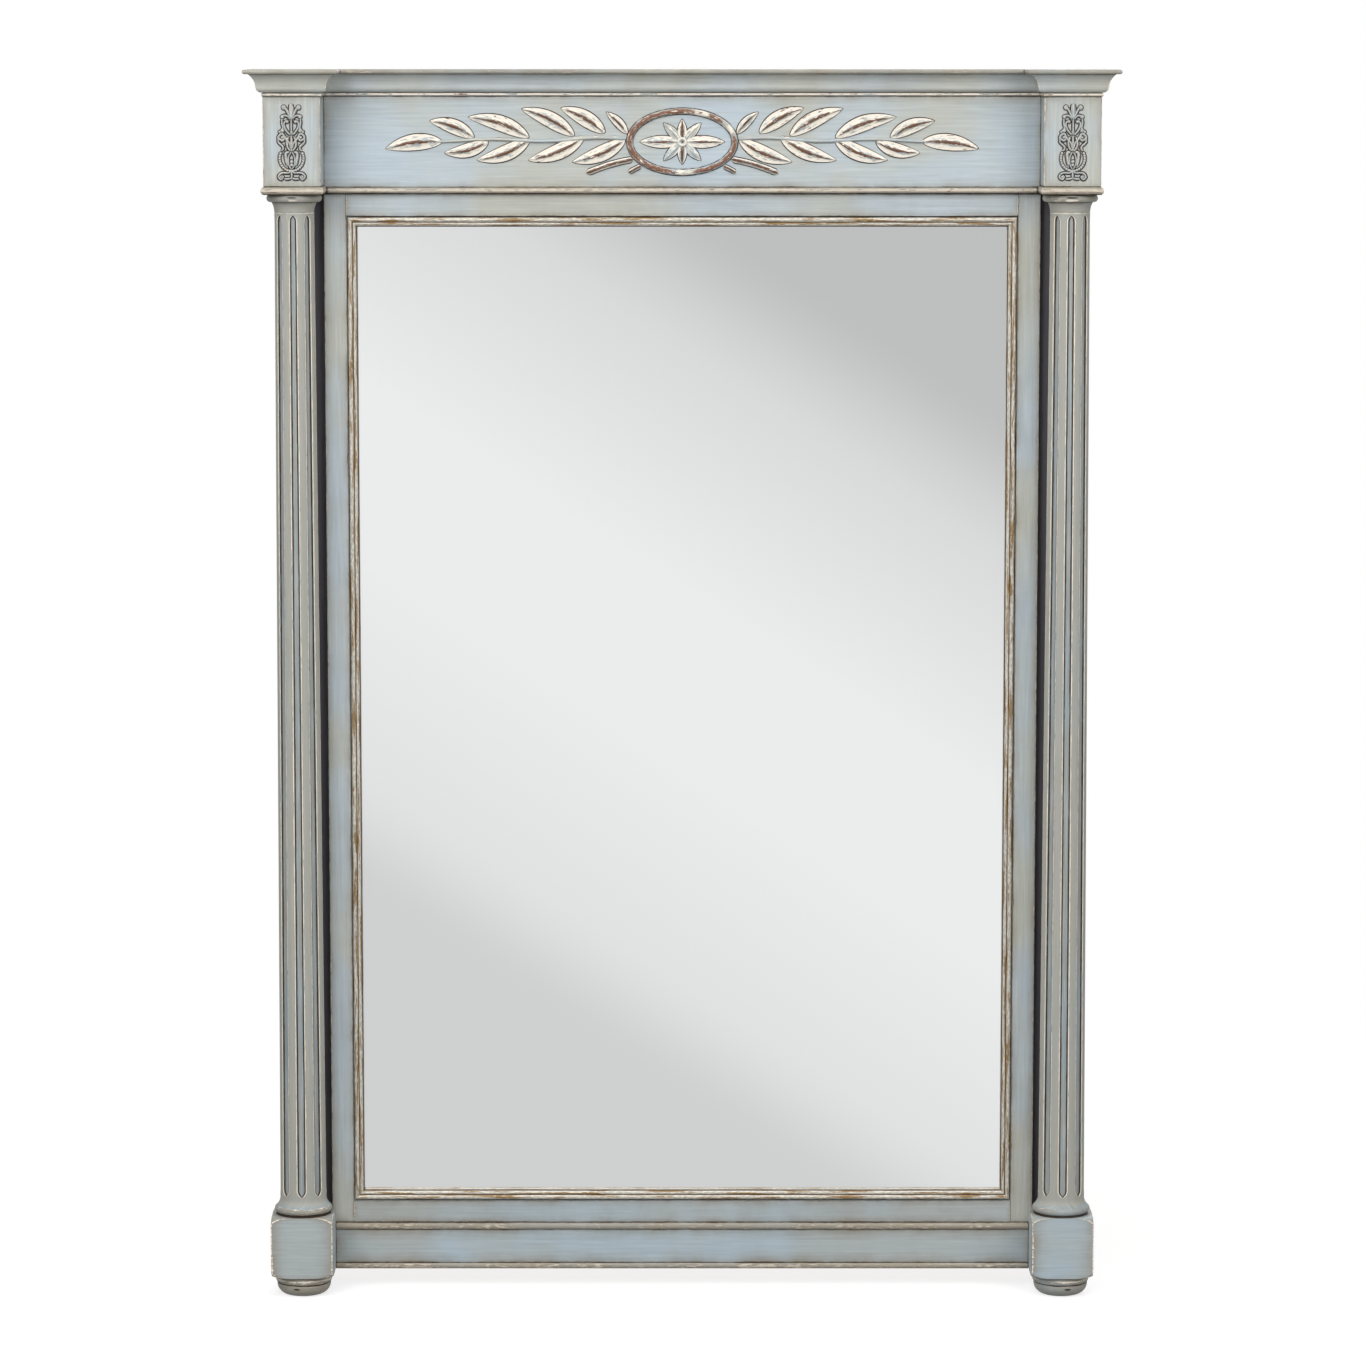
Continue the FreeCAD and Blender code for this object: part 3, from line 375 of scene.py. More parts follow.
def strand(path: Array, widths: Array | float, rise: float, across: int = 9,
           halo: float = 0.0) -> list[Skin]:
    """A carved strand: a low rounded ridge that follows a path on a flat front face.

    Its section is rise x (1 - |t| ** 2.4) over the width, standing on a short upright wall, with a
    flat back. Both ends shrink to a point or a blunt end.

    Args:
        path: Points (m, 3) on the face, in millimetres.
        widths: Width, one or (m), in millimetres.
        rise: Height.
        across: Points across the ridge.
        halo: Width of the dark wax line that follows the strand's foot, nought for none.

    Returns:
        The closed strand, and the low rim of wax under it.
    """
    wall = 0.35
    rim = [strand(path, widths + 2 * halo, WAX_RISE, across)[0].as_wax()] if halo else []
    path, widths = path * MM, (np.zeros(len(path)) + widths) * MM
    step = np.gradient(path, axis=0)
    step /= np.linalg.norm(step, axis=1, keepdims=True)
    length = np.concatenate([[0], np.cumsum(np.linalg.norm(np.diff(path, axis=0), axis=1))])
    share = (np.minimum(length, length[-1] - length) / (widths / 2)).clip(0, 1)
    widths = widths * np.sqrt(1 - (1 - share) ** 2)
    t = np.linspace(-1, 1, across)
    lift = np.concatenate([[0], wall + (1 - wall) * (1 - np.abs(t) ** 2.4), [0, 0]])
    t = np.concatenate([[-1], t, [1, -1]])
    points = (path[:, None, :] + np.cross(step, FORWARDS)[:, None, :] * (t * widths[:, None] / 2)[..., None]
              + FORWARDS * (lift * (rise * MM * (0.25 + 0.75 * share))[:, None])[..., None])
    top = lift > 0
    rubbed, quirk, heart = (np.tile(mark, (len(path), 1)) for mark in
                            (near(np.abs(t) - 0.8, 0.25) * top, 1.0 - top, near(t, 0.35) * top))
    member = np.stack(np.broadcast_arrays(length[:, None], (t * 0.004)[None, :]), axis=2)
    return [Skin(points, rubbed, quirk, heart, member)] + rim


def piece(name: str, skins: Iterable[Skin], crease: float = 38.0) -> bpy.types.Object:
    """Puts skins in one mesh: merges where they meet, turns faces outwards and sets the marks.

    Args:
        name: Name of the object.
        skins: The surfaces.
        crease: Angle in degrees past which an edge shades sharp.

    Returns:
        The object, untransformed, with its place in its mesh.
    """
    skins, faces, start = list(skins), [], 0
    for skin in skins:
        rows, columns = skin.points.shape[:2]
        number = start + np.arange(rows * columns).reshape(rows, columns)
        quads = np.stack([number[:-1, :-1], number[1:, :-1], number[1:, 1:], number[:-1, 1:]], axis=2)
        faces += quads.reshape(-1, 4).tolist()
        if skin.capped:
            faces += [number[0, :-1].tolist(), number[-1, :-1][::-1].tolist()]
        start += rows * columns
    mesh = bpy.data.meshes.new(name)
    mesh.from_pydata(np.vstack([skin.points.reshape(-1, 3) for skin in skins]).tolist(), [], faces)
    for mark in MARKS:
        values = np.concatenate([getattr(skin, mark).ravel() for skin in skins])
        mesh.attributes.new(mark, "FLOAT", "POINT").data.foreach_set("value", values.astype(np.float32))
    loops = np.empty(len(mesh.loops), np.int32)
    mesh.loops.foreach_get("vertex_index", loops)
    member = np.vstack([skin.member.reshape(-1, 2) for skin in skins])
    mesh.uv_layers.new(name=UV_NAME).data.foreach_set("uv", member[loops].astype(np.float32).ravel())
    shell = bmesh.new()
    shell.from_mesh(mesh)
    bmesh.ops.remove_doubles(shell, verts=shell.verts[:], dist=2e-6)
    bmesh.ops.dissolve_degenerate(shell, edges=shell.edges[:], dist=1e-7)
    bmesh.ops.recalc_face_normals(shell, faces=shell.faces[:])
    shell.to_mesh(mesh)
    shell.free()
    mesh.polygons.foreach_set("use_smooth", np.ones(len(mesh.polygons), bool))
    mesh.set_sharp_from_angle(angle=math.radians(crease))
    made = bpy.data.objects.new(name, mesh)
    bpy.context.scene.collection.objects.link(made)
    return made


# ------------------------------------------------------------------------------ finishes
def linear(colour: str) -> tuple[float, float, float, float]:
    """An sRGB hex colour such as "#A8B4BA" as linear red, green, blue and alpha."""
    parts = [int(colour[i:i + 2], 16) / 255 for i in (1, 3, 5)]
    return (*(c / 12.92 if c <= 0.04045 else ((c + 0.055) / 1.055) ** 2.4 for c in parts), 1.0)


class Graph:
    """A node tree, with short ways to add the nodes that finishes share."""

    def __init__(self, tree: bpy.types.NodeTree) -> None:
        """Takes the tree and empties it."""
        tree.nodes.clear()
        self.tree = tree

    def add(self, kind: str, inputs: dict[int | str, Any] | None = None, output: int | str = 0,
            **settings: Any) -> Socket | None:
        """Adds a node with its settings and links.

        Args:
            kind: The node's type, without "ShaderNode".
            inputs: Values or other nodes' sockets, by the input's name or its place among those in use.
            output: Which output is returned.
            **settings: The node's own settings.

        Returns:
            The output socket, or None from a node that has none.
        """
        node = self.tree.nodes.new("ShaderNode" + kind)
        for name, value in settings.items():
            setattr(node, name, value)
        shown = [s for s in node.inputs if s.enabled]
        for key, value in (inputs or {}).items():
            socket = shown[key] if isinstance(key, int) else next(s for s in shown if s.name == key)
            if isinstance(value, Socket):
                self.tree.links.new(value, socket)
            else:
                socket.default_value = value
        given = [s for s in node.outputs if s.enabled]
        if not given:
            return None
        return given[output] if isinstance(output, int) else next(s for s in given if s.name == output)

    def place(self) -> Socket:
        """Where a point is in its object, in metres."""
        return self.add("TexCoord", output="Object")

    def split(self, place: Socket) -> list[Socket]:
        """A place's x, y and z."""
        return [self.add("SeparateXYZ", {0: place}, output=axis) for axis in "XYZ"]

    def math(self, operation: str, *values: Any) -> Socket:
        """One operation on up to three values or sockets."""
        return self.add("Math", dict(enumerate(values)), operation=operation)

    def ramp(self, value: Socket, low: float, high: float, share: float = 1.0) -> Socket:
        """Rises from 0 at low to share at high, by smoothstep."""
        return self.add("MapRange", {"Value": value, "From Min": low, "From Max": high, "To Max": share},
                        interpolation_type="SMOOTHSTEP")

    def even(self, value: Socket, low: float, high: float, start: float = 0.0, end: float = 1.0) -> Socket:
        """Runs evenly from start at low to end at high."""
        return self.add("MapRange", {"Value": value, "From Min": low, "From Max": high, "To Min": start,
                                     "To Max": end})

    def blend(self, share: Socket, first: Socket | str, second: Socket | str) -> Socket:
        """Mixes two tones, each a socket or a hex colour."""
        tones = [linear(tone) if isinstance(tone, str) else tone for tone in (first, second)]
        return self.add("Mix", {0: share, 1: tones[0], 2: tones[1]}, data_type="RGBA")

    def noise(self, place: Socket, scale: float | tuple[float, float, float], detail: float = 2.0,
              roughness: float = 0.5, distortion: float = 0.0) -> Socket:
        """Noise at a place, finer with a larger scale. A triple stretches it.

        Args:
            place: Where.
            scale: Features to the metre, or that along each axis.
            detail: Octaves.
            roughness: How much the finer octaves count.
            distortion: How far the place is bent.

        Returns:
            The noise, mostly from 0.3 to 0.7.
        """
        if isinstance(scale, tuple):
            place, scale = self.add("Mapping", {"Vector": place, "Scale": scale}), 1.0
        return self.add("TexNoise", {"Vector": place, "Scale": scale, "Detail": detail,
                                     "Roughness": roughness, "Distortion": distortion})

    def surface(self, inputs: dict[str, Any], relief: tuple[float, float, Socket] | None = None) -> None:
        """Ends the graph with a Principled shader.

        Args:
            inputs: The shader's inputs.
            relief: Strength, distance and height of a bump, or None.
        """
        if relief:
            inputs["Normal"] = self.add("Bump", dict(zip(("Strength", "Distance", "Height"), relief)))
        self.add("OutputMaterial", {"Surface": self.add("BsdfPrincipled", inputs)})


@dataclass(frozen=True)
class Surface:
    """A finish: the name of its material, and a graph that each kind draws in its own way."""

    name: str

    def made(self) -> bpy.types.Material:
        """Makes the material."""
        material = bpy.data.materials.new(self.name)
        material.use_nodes = True
        self.draw(Graph(material.node_tree))
        return material

    def draw(self, g: Graph) -> None:
        """Draws the finish in an empty graph."""
        raise NotImplementedError


class Grain(Enum):
    """Which way the wood runs."""

    UPRIGHT = "upright"
    LEVEL = "level"


@dataclass(frozen=True)
class ChalkPaint(Surface):
    """Chalky casein paint on gessoed wood, brushed on, rubbed back at the arrises and waxed dark.

    The paint lies dull and slightly streaky, with a beige glaze that gathers towards the edges. Where
    it is rubbed, the cream gesso shows as a thin broken line, and where it is rubbed hardest the
    red-brown wood. Dark wax stays in the quirks, and what faces the wall was never painted.
    """

    colour: str = "#A8B2B8"
    haze: str = "#ACADA4"
    shade: str = "#8F999C"
    light: str = "#BFC6C7"
    gesso: str = "#E2D8C9"
    bare: str = "#74452F"
    wax: str = "#35281F"
    glaze: str = "#7F7461"
    raw: str = "#B9946A"
    late: str = "#97714A"
    heart: str = "#B5B1A4"
    # Painted shade: the dark tone that a post's inner faces take, standing for the shade of the recess behind
    # the columns.
    hollow: str = "#545156"
    heart_share: float = 0.0
    wear: float = 0.75
    bared: float = 0.35
    grime: float = 0.7
    haze_size: float = 190.0
    stroke_width: float = 3.2
    torn: float = 0.9
    seep: float = 0.2
    raw_from: float = WALL - UNPAINTED
    post: bool = False

    def draw(self, g: Graph) -> None:
        """Lays tone over tone. Strokes are about 80 mm long and stroke_width across."""
        place = g.place()
        member = self.lengthwise(g, place)
        rubbed, quirk, heart = (g.add("Attribute", output="Fac", attribute_name=mark) for mark in MARKS)
        strokes = g.noise(member, (12.0, 1000 / self.stroke_width, 1.0), 4.0, 0.6)
        chips = g.noise(member, (90.0, 420.0, 1.0), 3.0, 0.65)
        patches = g.noise(place, 22.0, 3.0, 0.6)
        ragged = g.math("MULTIPLY_ADD", chips, self.torn, -self.torn / 2)
        broken = g.math("MULTIPLY_ADD", patches, 0.8, -0.4)
        uneven = g.math("ADD", ragged, broken)
        clouds = g.noise(place, 1000 / self.haze_size, 3.0, 0.55)
        tone = g.blend(g.ramp(clouds, 0.38, 0.62), self.colour, self.haze)
        tone = g.blend(g.even(strokes, 0.5, 0.75, 0.0, 0.5), tone, self.shade)
        tone = g.blend(g.even(strokes, 0.48, 0.25, 0.0, 0.5), tone, self.light)
        hearts = g.math("MULTIPLY_ADD", uneven, 1.1, heart)
        tone = g.blend(g.ramp(hearts, 0.4, 0.58, self.heart_share), tone, self.heart)
        nearby = g.math("POWER", g.math("MAXIMUM", quirk, rubbed), self.seep)
        stain = g.math("MULTIPLY", nearby, patches)
        tone = g.blend(g.even(stain, 0.12, 0.6, 0.0, self.grime), tone, self.glaze)
        rub = g.ramp(g.math("MULTIPLY_ADD", rubbed, self.wear, uneven), 0.4, 0.56)
        tone = g.blend(rub, tone, self.gesso)
        harder = g.math("MULTIPLY_ADD", rubbed, self.wear + self.bared, broken)
        tone = g.blend(g.ramp(g.math("SUBTRACT", harder, ragged), 0.94, 1.08), tone, self.bare)
        # Dark wax in the quirks; in the dies' inner corners the quirk mark also carries painted shade.
        waxed = g.math("MULTIPLY_ADD", uneven, 0.8, quirk)
        tone = g.blend(g.ramp(waxed, 0.5, 0.78), tone, self.wax)
        tone = self.unpainted(g, tone, place, uneven, strokes)
        g.surface({"Base Color": tone, "Roughness": g.even(strokes, 0.0, 1.0, 0.52, 0.74),
                   "Specular IOR Level": 0.35}, (0.35, 0.0004, g.math("MULTIPLY_ADD", rub, -0.7, strokes)))

    def lengthwise(self, g: Graph, place: Socket) -> Socket:
        """Where a point is along and across its member: the piece's own map, or a post's height.

        Args:
            g: The graph.
            place: Where the point is in its object.

        Returns:
            The two distances, in metres.
        """
        if not self.post:
            return g.add("UVMap", uv_map=UV_NAME)
        x, y, z = g.split(place)
        return g.add("CombineXYZ", {0: z, 1: g.math("ADD", x, y)})

    def unpainted(self, g: Graph, tone: Socket, place: Socket, uneven: Socket, strokes: Socket) -> Socket:
        """Bare streaky wood from raw_from backwards, and painted shade on a post's inner faces.

        Args:
            g: The graph.
            tone: The painted tone.
            place: Where the point is.
            uneven: What makes the paint's last edge ragged.
            strokes: What streaks the wood.

        Returns:
            The tone with the wood.
        """
        x, y, _ = g.split(place)
        if self.post:
            half = g.math("ABSOLUTE", x)
            # Painted shade: inside POST_SIDE a post's faces turn to the dark hollow tone.
            tone = g.blend(g.even(half, POST_SIDE - 0.3 * MM, POST_SIDE - 1.2 * MM), tone, self.hollow)
        drips = g.math("MULTIPLY_ADD", uneven, 1.2 * MM, y)
        wood = g.blend(g.even(strokes, 0.45, 0.65), self.raw, self.late)
        return g.blend(g.even(drips, self.raw_from, self.raw_from + 0.6 * MM), tone, wood)


@dataclass(frozen=True)
class SizedLeaf(Surface):
    """Silver leaf toned to champagne over a yellow bole, rubbed on the rounds.

    The leaf is a soft metal sheen, warm grey, with ochre bole in patches and dark wax in the quirks.
    """

    leaf: str = "#ACA699"
    pale: str = "#CBC6BB"
    bright: str = "#D2CDC3"
    bole: str = "#86693E"
    wax: str = "#2A201A"

    def draw(self, g: Graph) -> None:
        """Lays tone over tone. Patches of bole are about 55 mm long and 4 mm wide."""
        member = g.add("UVMap", uv_map=UV_NAME)
        rubbed, quirk = (g.add("Attribute", output="Fac", attribute_name=mark) for mark in MARKS[:2])
        rolls = g.noise(member, (18.0, 260.0, 1.0), 3.0, 0.6)
        flecks = g.noise(member, (160.0, 500.0, 1.0), 3.0, 0.6)
        tone = g.blend(g.ramp(flecks, 0.42, 0.6), self.leaf, self.pale)
        tone = g.blend(g.ramp(rolls, 0.5, 0.6), tone, self.bole)
        crown = g.math("MULTIPLY_ADD", rubbed, 0.6, flecks)
        tone = g.blend(g.even(crown, 0.72, 0.9), tone, self.bright)
        dark = g.ramp(g.math("MULTIPLY_ADD", flecks, 0.7, quirk), 0.62, 0.9)
        g.surface({"Base Color": g.blend(dark, tone, self.wax), "Metallic": g.even(dark, 0.0, 1.0, 0.35, 0.0),
                   "Roughness": g.even(flecks, 0.0, 1.0, 0.34, 0.6)}, (0.3, 0.0004, flecks))


@dataclass(frozen=True)
class SawnWood(Surface):
    """Planed softwood or plywood, left bare behind the mirror and gone brown with age.

    Growth rings run along the board as long soft streaks, with fine pores and a dull surface.
    """

    grain: Grain
    early: str = "#B9946A"
    late: str = "#9C764D"
    pore: str = "#5F432A"
    ring_width: float = 9.0

    def draw(self, g: Graph) -> None:
        """Rings are ring_width apart and pores about 1 mm wide and 30 mm long."""
        place, across = g.place(), 1000 / self.ring_width
        upright = self.grain is Grain.UPRIGHT
        ring = g.noise(place, (across, across, 1.6) if upright else (1.6, across, across), distortion=0.6)
        pore = g.noise(place, (900.0, 900.0, 30.0) if upright else (30.0, 900.0, 900.0), 3.0)
        tone = g.blend(g.ramp(ring, 0.46, 0.62), self.early, self.late)
        tone = g.blend(g.even(pore, 0.5, 0.75, 0.0, 0.4), tone, self.pore)
        g.surface({"Base Color": tone, "Roughness": 0.72, "Specular IOR Level": 0.3}, (0.3, 0.0003, pore))


@dataclass(frozen=True)
class OldMetal(Surface):
    """Turned or rolled metal that has dulled: fine scratches and darker patches of tarnish."""

    bright: str
    tarnish: str
    roughness: float = 0.34

    def draw(self, g: Graph) -> None:
        """Scratches are drawn 0.6 mm wide, coarser than real, so that they show."""
        place = g.place()
        scratch = g.noise(place, (1600.0, 1600.0, 90.0))
        tone = g.blend(g.ramp(g.noise(place, 120.0, 4.0), 0.42, 0.66), self.bright, self.tarnish)
        dull = g.even(scratch, 0.0, 1.0, self.roughness - 0.1, self.roughness + 0.14)
        g.surface({"Base Color": tone, "Metallic": 1.0, "Roughness": dull}, (0.2, 0.0001, scratch))


@dataclass(frozen=True)
class SilveredGlass(Surface):
    """Float glass silvered on its back: a clean mirror with a faint cool cast and a trace of haze."""

    silver: str = "#F7F8F8"

    def draw(self, g: Graph) -> None:
        """The haze varies over about 300 mm, as a hand-wiped sheet does."""
        haze = g.even(g.noise(g.place(), 3.3), 0.0, 1.0, 0.012, 0.03)
        g.surface({"Base Color": linear(self.silver), "Metallic": 1.0, "Roughness": haze})


class Finish(Enum):
    """The finishes of the whole mirror."""

    PAINT = ChalkPaint("chalk_paint_blue_grey")
    FRIEZE = ChalkPaint("chalk_paint_frieze", colour="#AAB5BC",
                        raw_from=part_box("frieze_board")[1][1] - UNPAINTED)
    # Painted light: a paler copy of the paint, to make up for the shade on the crown's downward faces.
    CROWN_PAINTED_LIGHT = ChalkPaint("chalk_paint_crown_painted_light", colour="#B7C0C4", haze="#B9BBB2", grime=0.45)
    LOW = ChalkPaint("chalk_paint_low_members", colour="#A1AFB7", haze="#A3AAAA", light="#B6C0C4", grime=0.8,
                     seep=0.15)
    CAP = ChalkPaint("chalk_paint_cap", colour="#949999", gesso="#B1A89D", wear=0.45, bared=0.6)
    COLUMN = ChalkPaint("chalk_paint_columns", colour="#8C999F", haze="#919898", shade="#70787A",
                        light="#C3C8C6", heart="#A19E92", heart_share=0.7, wear=0.85, bared=0.1, grime=0.35,
                        haze_size=240.0)
    # Painted light: the feet's paint is kept light to make up for the shadow that the base blocks cast on
    # them.
    FEET_PAINTED_LIGHT = ChalkPaint("chalk_paint_feet_painted_light", colour="#A6ADAE", haze="#A9A69B", wear=0.9, bared=0.1, grime=0.6,
                      seep=0.13)
    EDGES = ChalkPaint("chalk_paint_rubbed_edges", colour="#9C9A92", haze="#A09787", gesso="#BEB4A4",
                       wear=0.85, bared=0.12, torn=1.4)
    CARVING = ChalkPaint("chalk_paint_rubbed_carving", colour="#A9B2B6", haze="#B3B4AC", heart="#5F3D2A",
                         heart_share=1.0, gesso="#DED7CA", wear=0.95, bared=-0.25, grime=0.3, haze_size=60.0,
                         torn=2.6)
    RING = replace(CARVING, name="chalk_paint_rubbed_ring", heart="#744631", bared=0.15, torn=2.2)
    # Painted highlight: the heart tone, a paler grey, lies on the crests of the ornament's strands and the
    # tops of its pearls.
    COMPOSITION = ChalkPaint("glazed_composition_ornament", colour="#9CA5AA", haze="#A1A5A5", heart="#C2C7C7",
                             heart_share=0.7, wear=0.6, bared=0.0, grime=0.6, haze_size=30.0)
    # The posts' inner faces get painted shade in the hollow tone; their outer sides are plain paint.
    POSTS = ChalkPaint("chalk_paint_posts_with_painted_shade", post=True)
    LEAF = SizedLeaf("champagne_silver_leaf")
    PINE = SawnWood("planed_pine_level", Grain.LEVEL)
    PLYWOOD = SawnWood("birch_plywood_back", Grain.UPRIGHT, early="#C2A27C", late="#B8986F", ring_width=26.0)
    STEEL = OldMetal("zinc_plated_steel", "#B8B7B2", "#8C8A84")
    BRASS = OldMetal("rolled_brass", "#C8A458", "#8A6B36", 0.3)
    GLASS = SilveredGlass("silvered_float_glass")

    @cache
    def material(self) -> bpy.types.Material:
        """The finish's material, made once."""
        return self.value.made()


def stand_in(node: str, skins: Iterable[Skin], finish: Finish) -> None:
    """Makes a piece in place of a CAD node, and gives it its material, slot and body.

    Args:
        node: The CAD node, whose name the piece takes.
        skins: The piece's surfaces.
        finish: What it is finished with.
    """
    made = piece(node, skins)
    made.data.materials.append(finish.material())
    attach(made, BODY)
    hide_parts(node)
    log.info("%s: %d vertices", made.name, len(made.data.vertices))


def refinished(finish: Finish, *nodes: str) -> None:
    """Gives CAD nodes a finish in each of their material slots.

    Args:
        finish: The finish.
        *nodes: The nodes.
    """
    for node in nodes:
        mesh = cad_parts[node].data
        if not mesh.materials:
            mesh.materials.append(finish.material())
        for i in range(len(mesh.materials)):
            mesh.materials[i] = finish.material()
        log.info("%s: CAD piece with %s", node, finish.value.name)


def pair(name: str, skins: Sequence[Skin], finish: Finish) -> None:
    """Makes a right-hand piece and its mirror image, each in place of its CAD node.

    Args:
        name: The nodes' name without its side.
        skins: The right-hand piece's surfaces.
        finish: What both are finished with.
    """
    stand_in(name + "_right", skins, finish)
    flipped = [replace(skin, points=skin.points * np.array([-1.0, 1.0, 1.0]), member=skin.member + 0.37)
               for skin in skins]
    stand_in(name + "_left", flipped, finish)


# --------------------------------------------------------------------------- sub-assemblies
@dataclass
class Entablature:
    """The frieze, the dies over the columns and the mouldings, sizes in millimetres."""

    cap_lip: float = 23.2
    cap_inset: float = 4.0
    frieze_round: Pair = (3.0, 8.0)
    die_round: Pair = (3.3, 10.0)
    astragal: Pair = (1.8, 5.2)
    crown: tuple[Step, ...] = ((1.2, 0.0), ((5.95, 1.98), (7.8, 6.0)), ((10.58, 16.08), (16.5, 22.8)))

    def build(self) -> None:
        """Builds and dresses every member over the columns."""
        frieze_low, frieze_high = corners_of("frieze_board")
        die_low, die_high = corners_of("die_right")
        self.die_in, self.die_out, self.die_y = die_low[0], die_high[0], die_low[1]
        self.wall, self.frieze_y, self.ground = die_high[1], frieze_low[1], frieze_high[1]
        self.round_die = [(self.die_in, self.die_y), (self.die_out, self.die_y), (self.die_out, self.wall)]
        stand_in("frieze_board", board(frieze_low, frieze_high, 0.8, 0, "-x+x-z+z"), Finish.FRIEZE)
        pair("die", self.waxed(board(die_low, die_high, 1.4, 2, "-z+z+y")), Finish.PAINT)
        self.length("frieze_moulding", self.rounded(*self.frieze_round), Finish.EDGES)
        self.returned("die_moulding", self.rounded(*self.die_round), Finish.EDGES)
        self.returned("astragal", self.rounded(*self.astragal), Finish.PAINT)
        self.length("astragal_centre", self.rounded(*self.astragal), Finish.PAINT)
        self.returned("crown", self.crown, Finish.CROWN_PAINTED_LIGHT)
        self.length("crown_centre", self.crown, Finish.CROWN_PAINTED_LIGHT)
        self.cap()

    def waxed(self, skins: list[Skin]) -> list[Skin]:
        """Darkens the corner between a die's inner side and the frieze: painted shade, with some dark wax.

        The mark is 0.95 x exp(-distance / 12 mm), with the distance measured from the frieze's face.

        Args:
            skins: Surfaces of a right-hand piece.

        Returns:
            The same surfaces.
        """
        for skin in skins:
            inner = skin.points[..., 0] < (self.die_in + 1.0) * MM
            # Painted shade with some dark wax: the quirk mark grows towards the corner with the frieze.
            mark = inner * 0.95 * np.exp(-np.abs(skin.points[..., 1] / MM - self.frieze_y) / 12.0)
            skin.quirk = np.maximum(skin.quirk, mark)
            skin.rubbed = skin.rubbed * (1 - mark)
        return skins

    def rounded(self, proud: float, height: float) -> tuple[Step, ...]:
        """The front of a full round: an arc from foot to top."""
        return (0.0, 0.0), ((proud, height / 2), (0.0, height))

    def closed(self, front: tuple[Step, ...], depth: float) -> Outline:
        """Closes a moulding's front with its top, back and underside.

        The crest of a full round is rubbed, wax lies at its foot, and a dark line runs below the crest.

        Args:
            front: The front, which ends in an arc.
            depth: How far back it goes.

        Returns:
            The marked outline.
        """
        top = front[-1][1]
        outline = Outline.traced(front + ((-depth, top[1]), (-depth, 0.0)), (front[0], top), spacing=0.6)
        if len(front) == 2:
            proud = outline.points[:, 0] / outline.points[:, 0].max()
            height = outline.points[:, 1] / top[1]
            foot = near(height, 0.16) * (proud > 0)
            line = 0.8 * near(height - 0.3, 0.07) * (proud > 0)
            outline.rubbed = np.maximum(outline.rubbed, 0.8 * near(1 - proud, 0.25)) * (1 - foot)
            outline.quirk = np.maximum.reduce([outline.quirk, line, foot])
        return outline

    def length(self, name: str, front: tuple[Step, ...], finish: Finish) -> None:
        """A straight length between the dies.

        Args:
            name: The CAD node.
            front: The moulding's front.
            finish: What it is finished with.
        """
        low, high = corners_of(name)
        path = course([(low[0], self.frieze_y), (high[0], self.frieze_y)], low[2])
        stand_in(name, [carried(self.closed(front, self.ground - self.frieze_y), *path)], finish)

    def returned(self, name: str, front: tuple[Step, ...], finish: Finish) -> None:
        """A moulding mitred round the right-hand die, with a core behind it, and its mirror image.

        Args:
            name: The CAD nodes' name without its side.
            front: The moulding's front.
            finish: What it is finished with.
        """
        low, high = corners_of(name + "_right")
        path = course([(self.die_in, self.ground)] + self.round_die, low[2], end_seam=False)
        # The returns' inner ends by the die take the same painted shade.
        skins = self.waxed([carried(self.closed(front, 12.0), *path)])
        skins += board((self.die_in + 0.1, self.ground + 0.1, low[2] + 0.1),
                       (self.die_in + 14, self.wall - 0.2, high[2] - 0.1), 0.3, 0)
        skins += board((self.die_in + 8, self.die_y + 8, low[2] + 0.2),
                       (self.die_out - 8, self.wall - 0.2, high[2] - 0.2), 0.5, 0)
        pair(name, skins, finish)

    def cap(self) -> None:
        """The thin cap board: its lip carried round the whole front, over one flat board."""
        low, high = corners_of("cap_board")
        thick, lip, inset = high[2] - low[2], self.cap_lip, self.cap_inset
        outline = Outline.traced([(lip - thick / 2, 0.0), ((lip, thick / 2), (lip - thick / 2, thick)),
                                  (-6.0, thick), (-6.0, 0.0)], reach=1.6, spacing=0.4)
        half = [(self.die_in, self.frieze_y)] + self.round_die
        plan = [(-x, y) for x, y in half[::-1]] + half
        skins = [carried(outline, *course(plan, low[2], False, False))]
        inner, outer = self.die_in + inset, self.die_out - inset
        for left, right, y in ((-inner, inner, self.frieze_y), (inner, outer, self.die_y),
                               (-outer, -inner, self.die_y)):
            skins += board((left, y + inset, low[2] + 0.05), (right, self.wall, high[2] - 0.05), 0.1, 0)
        stand_in("cap_board", skins, Finish.CAP)


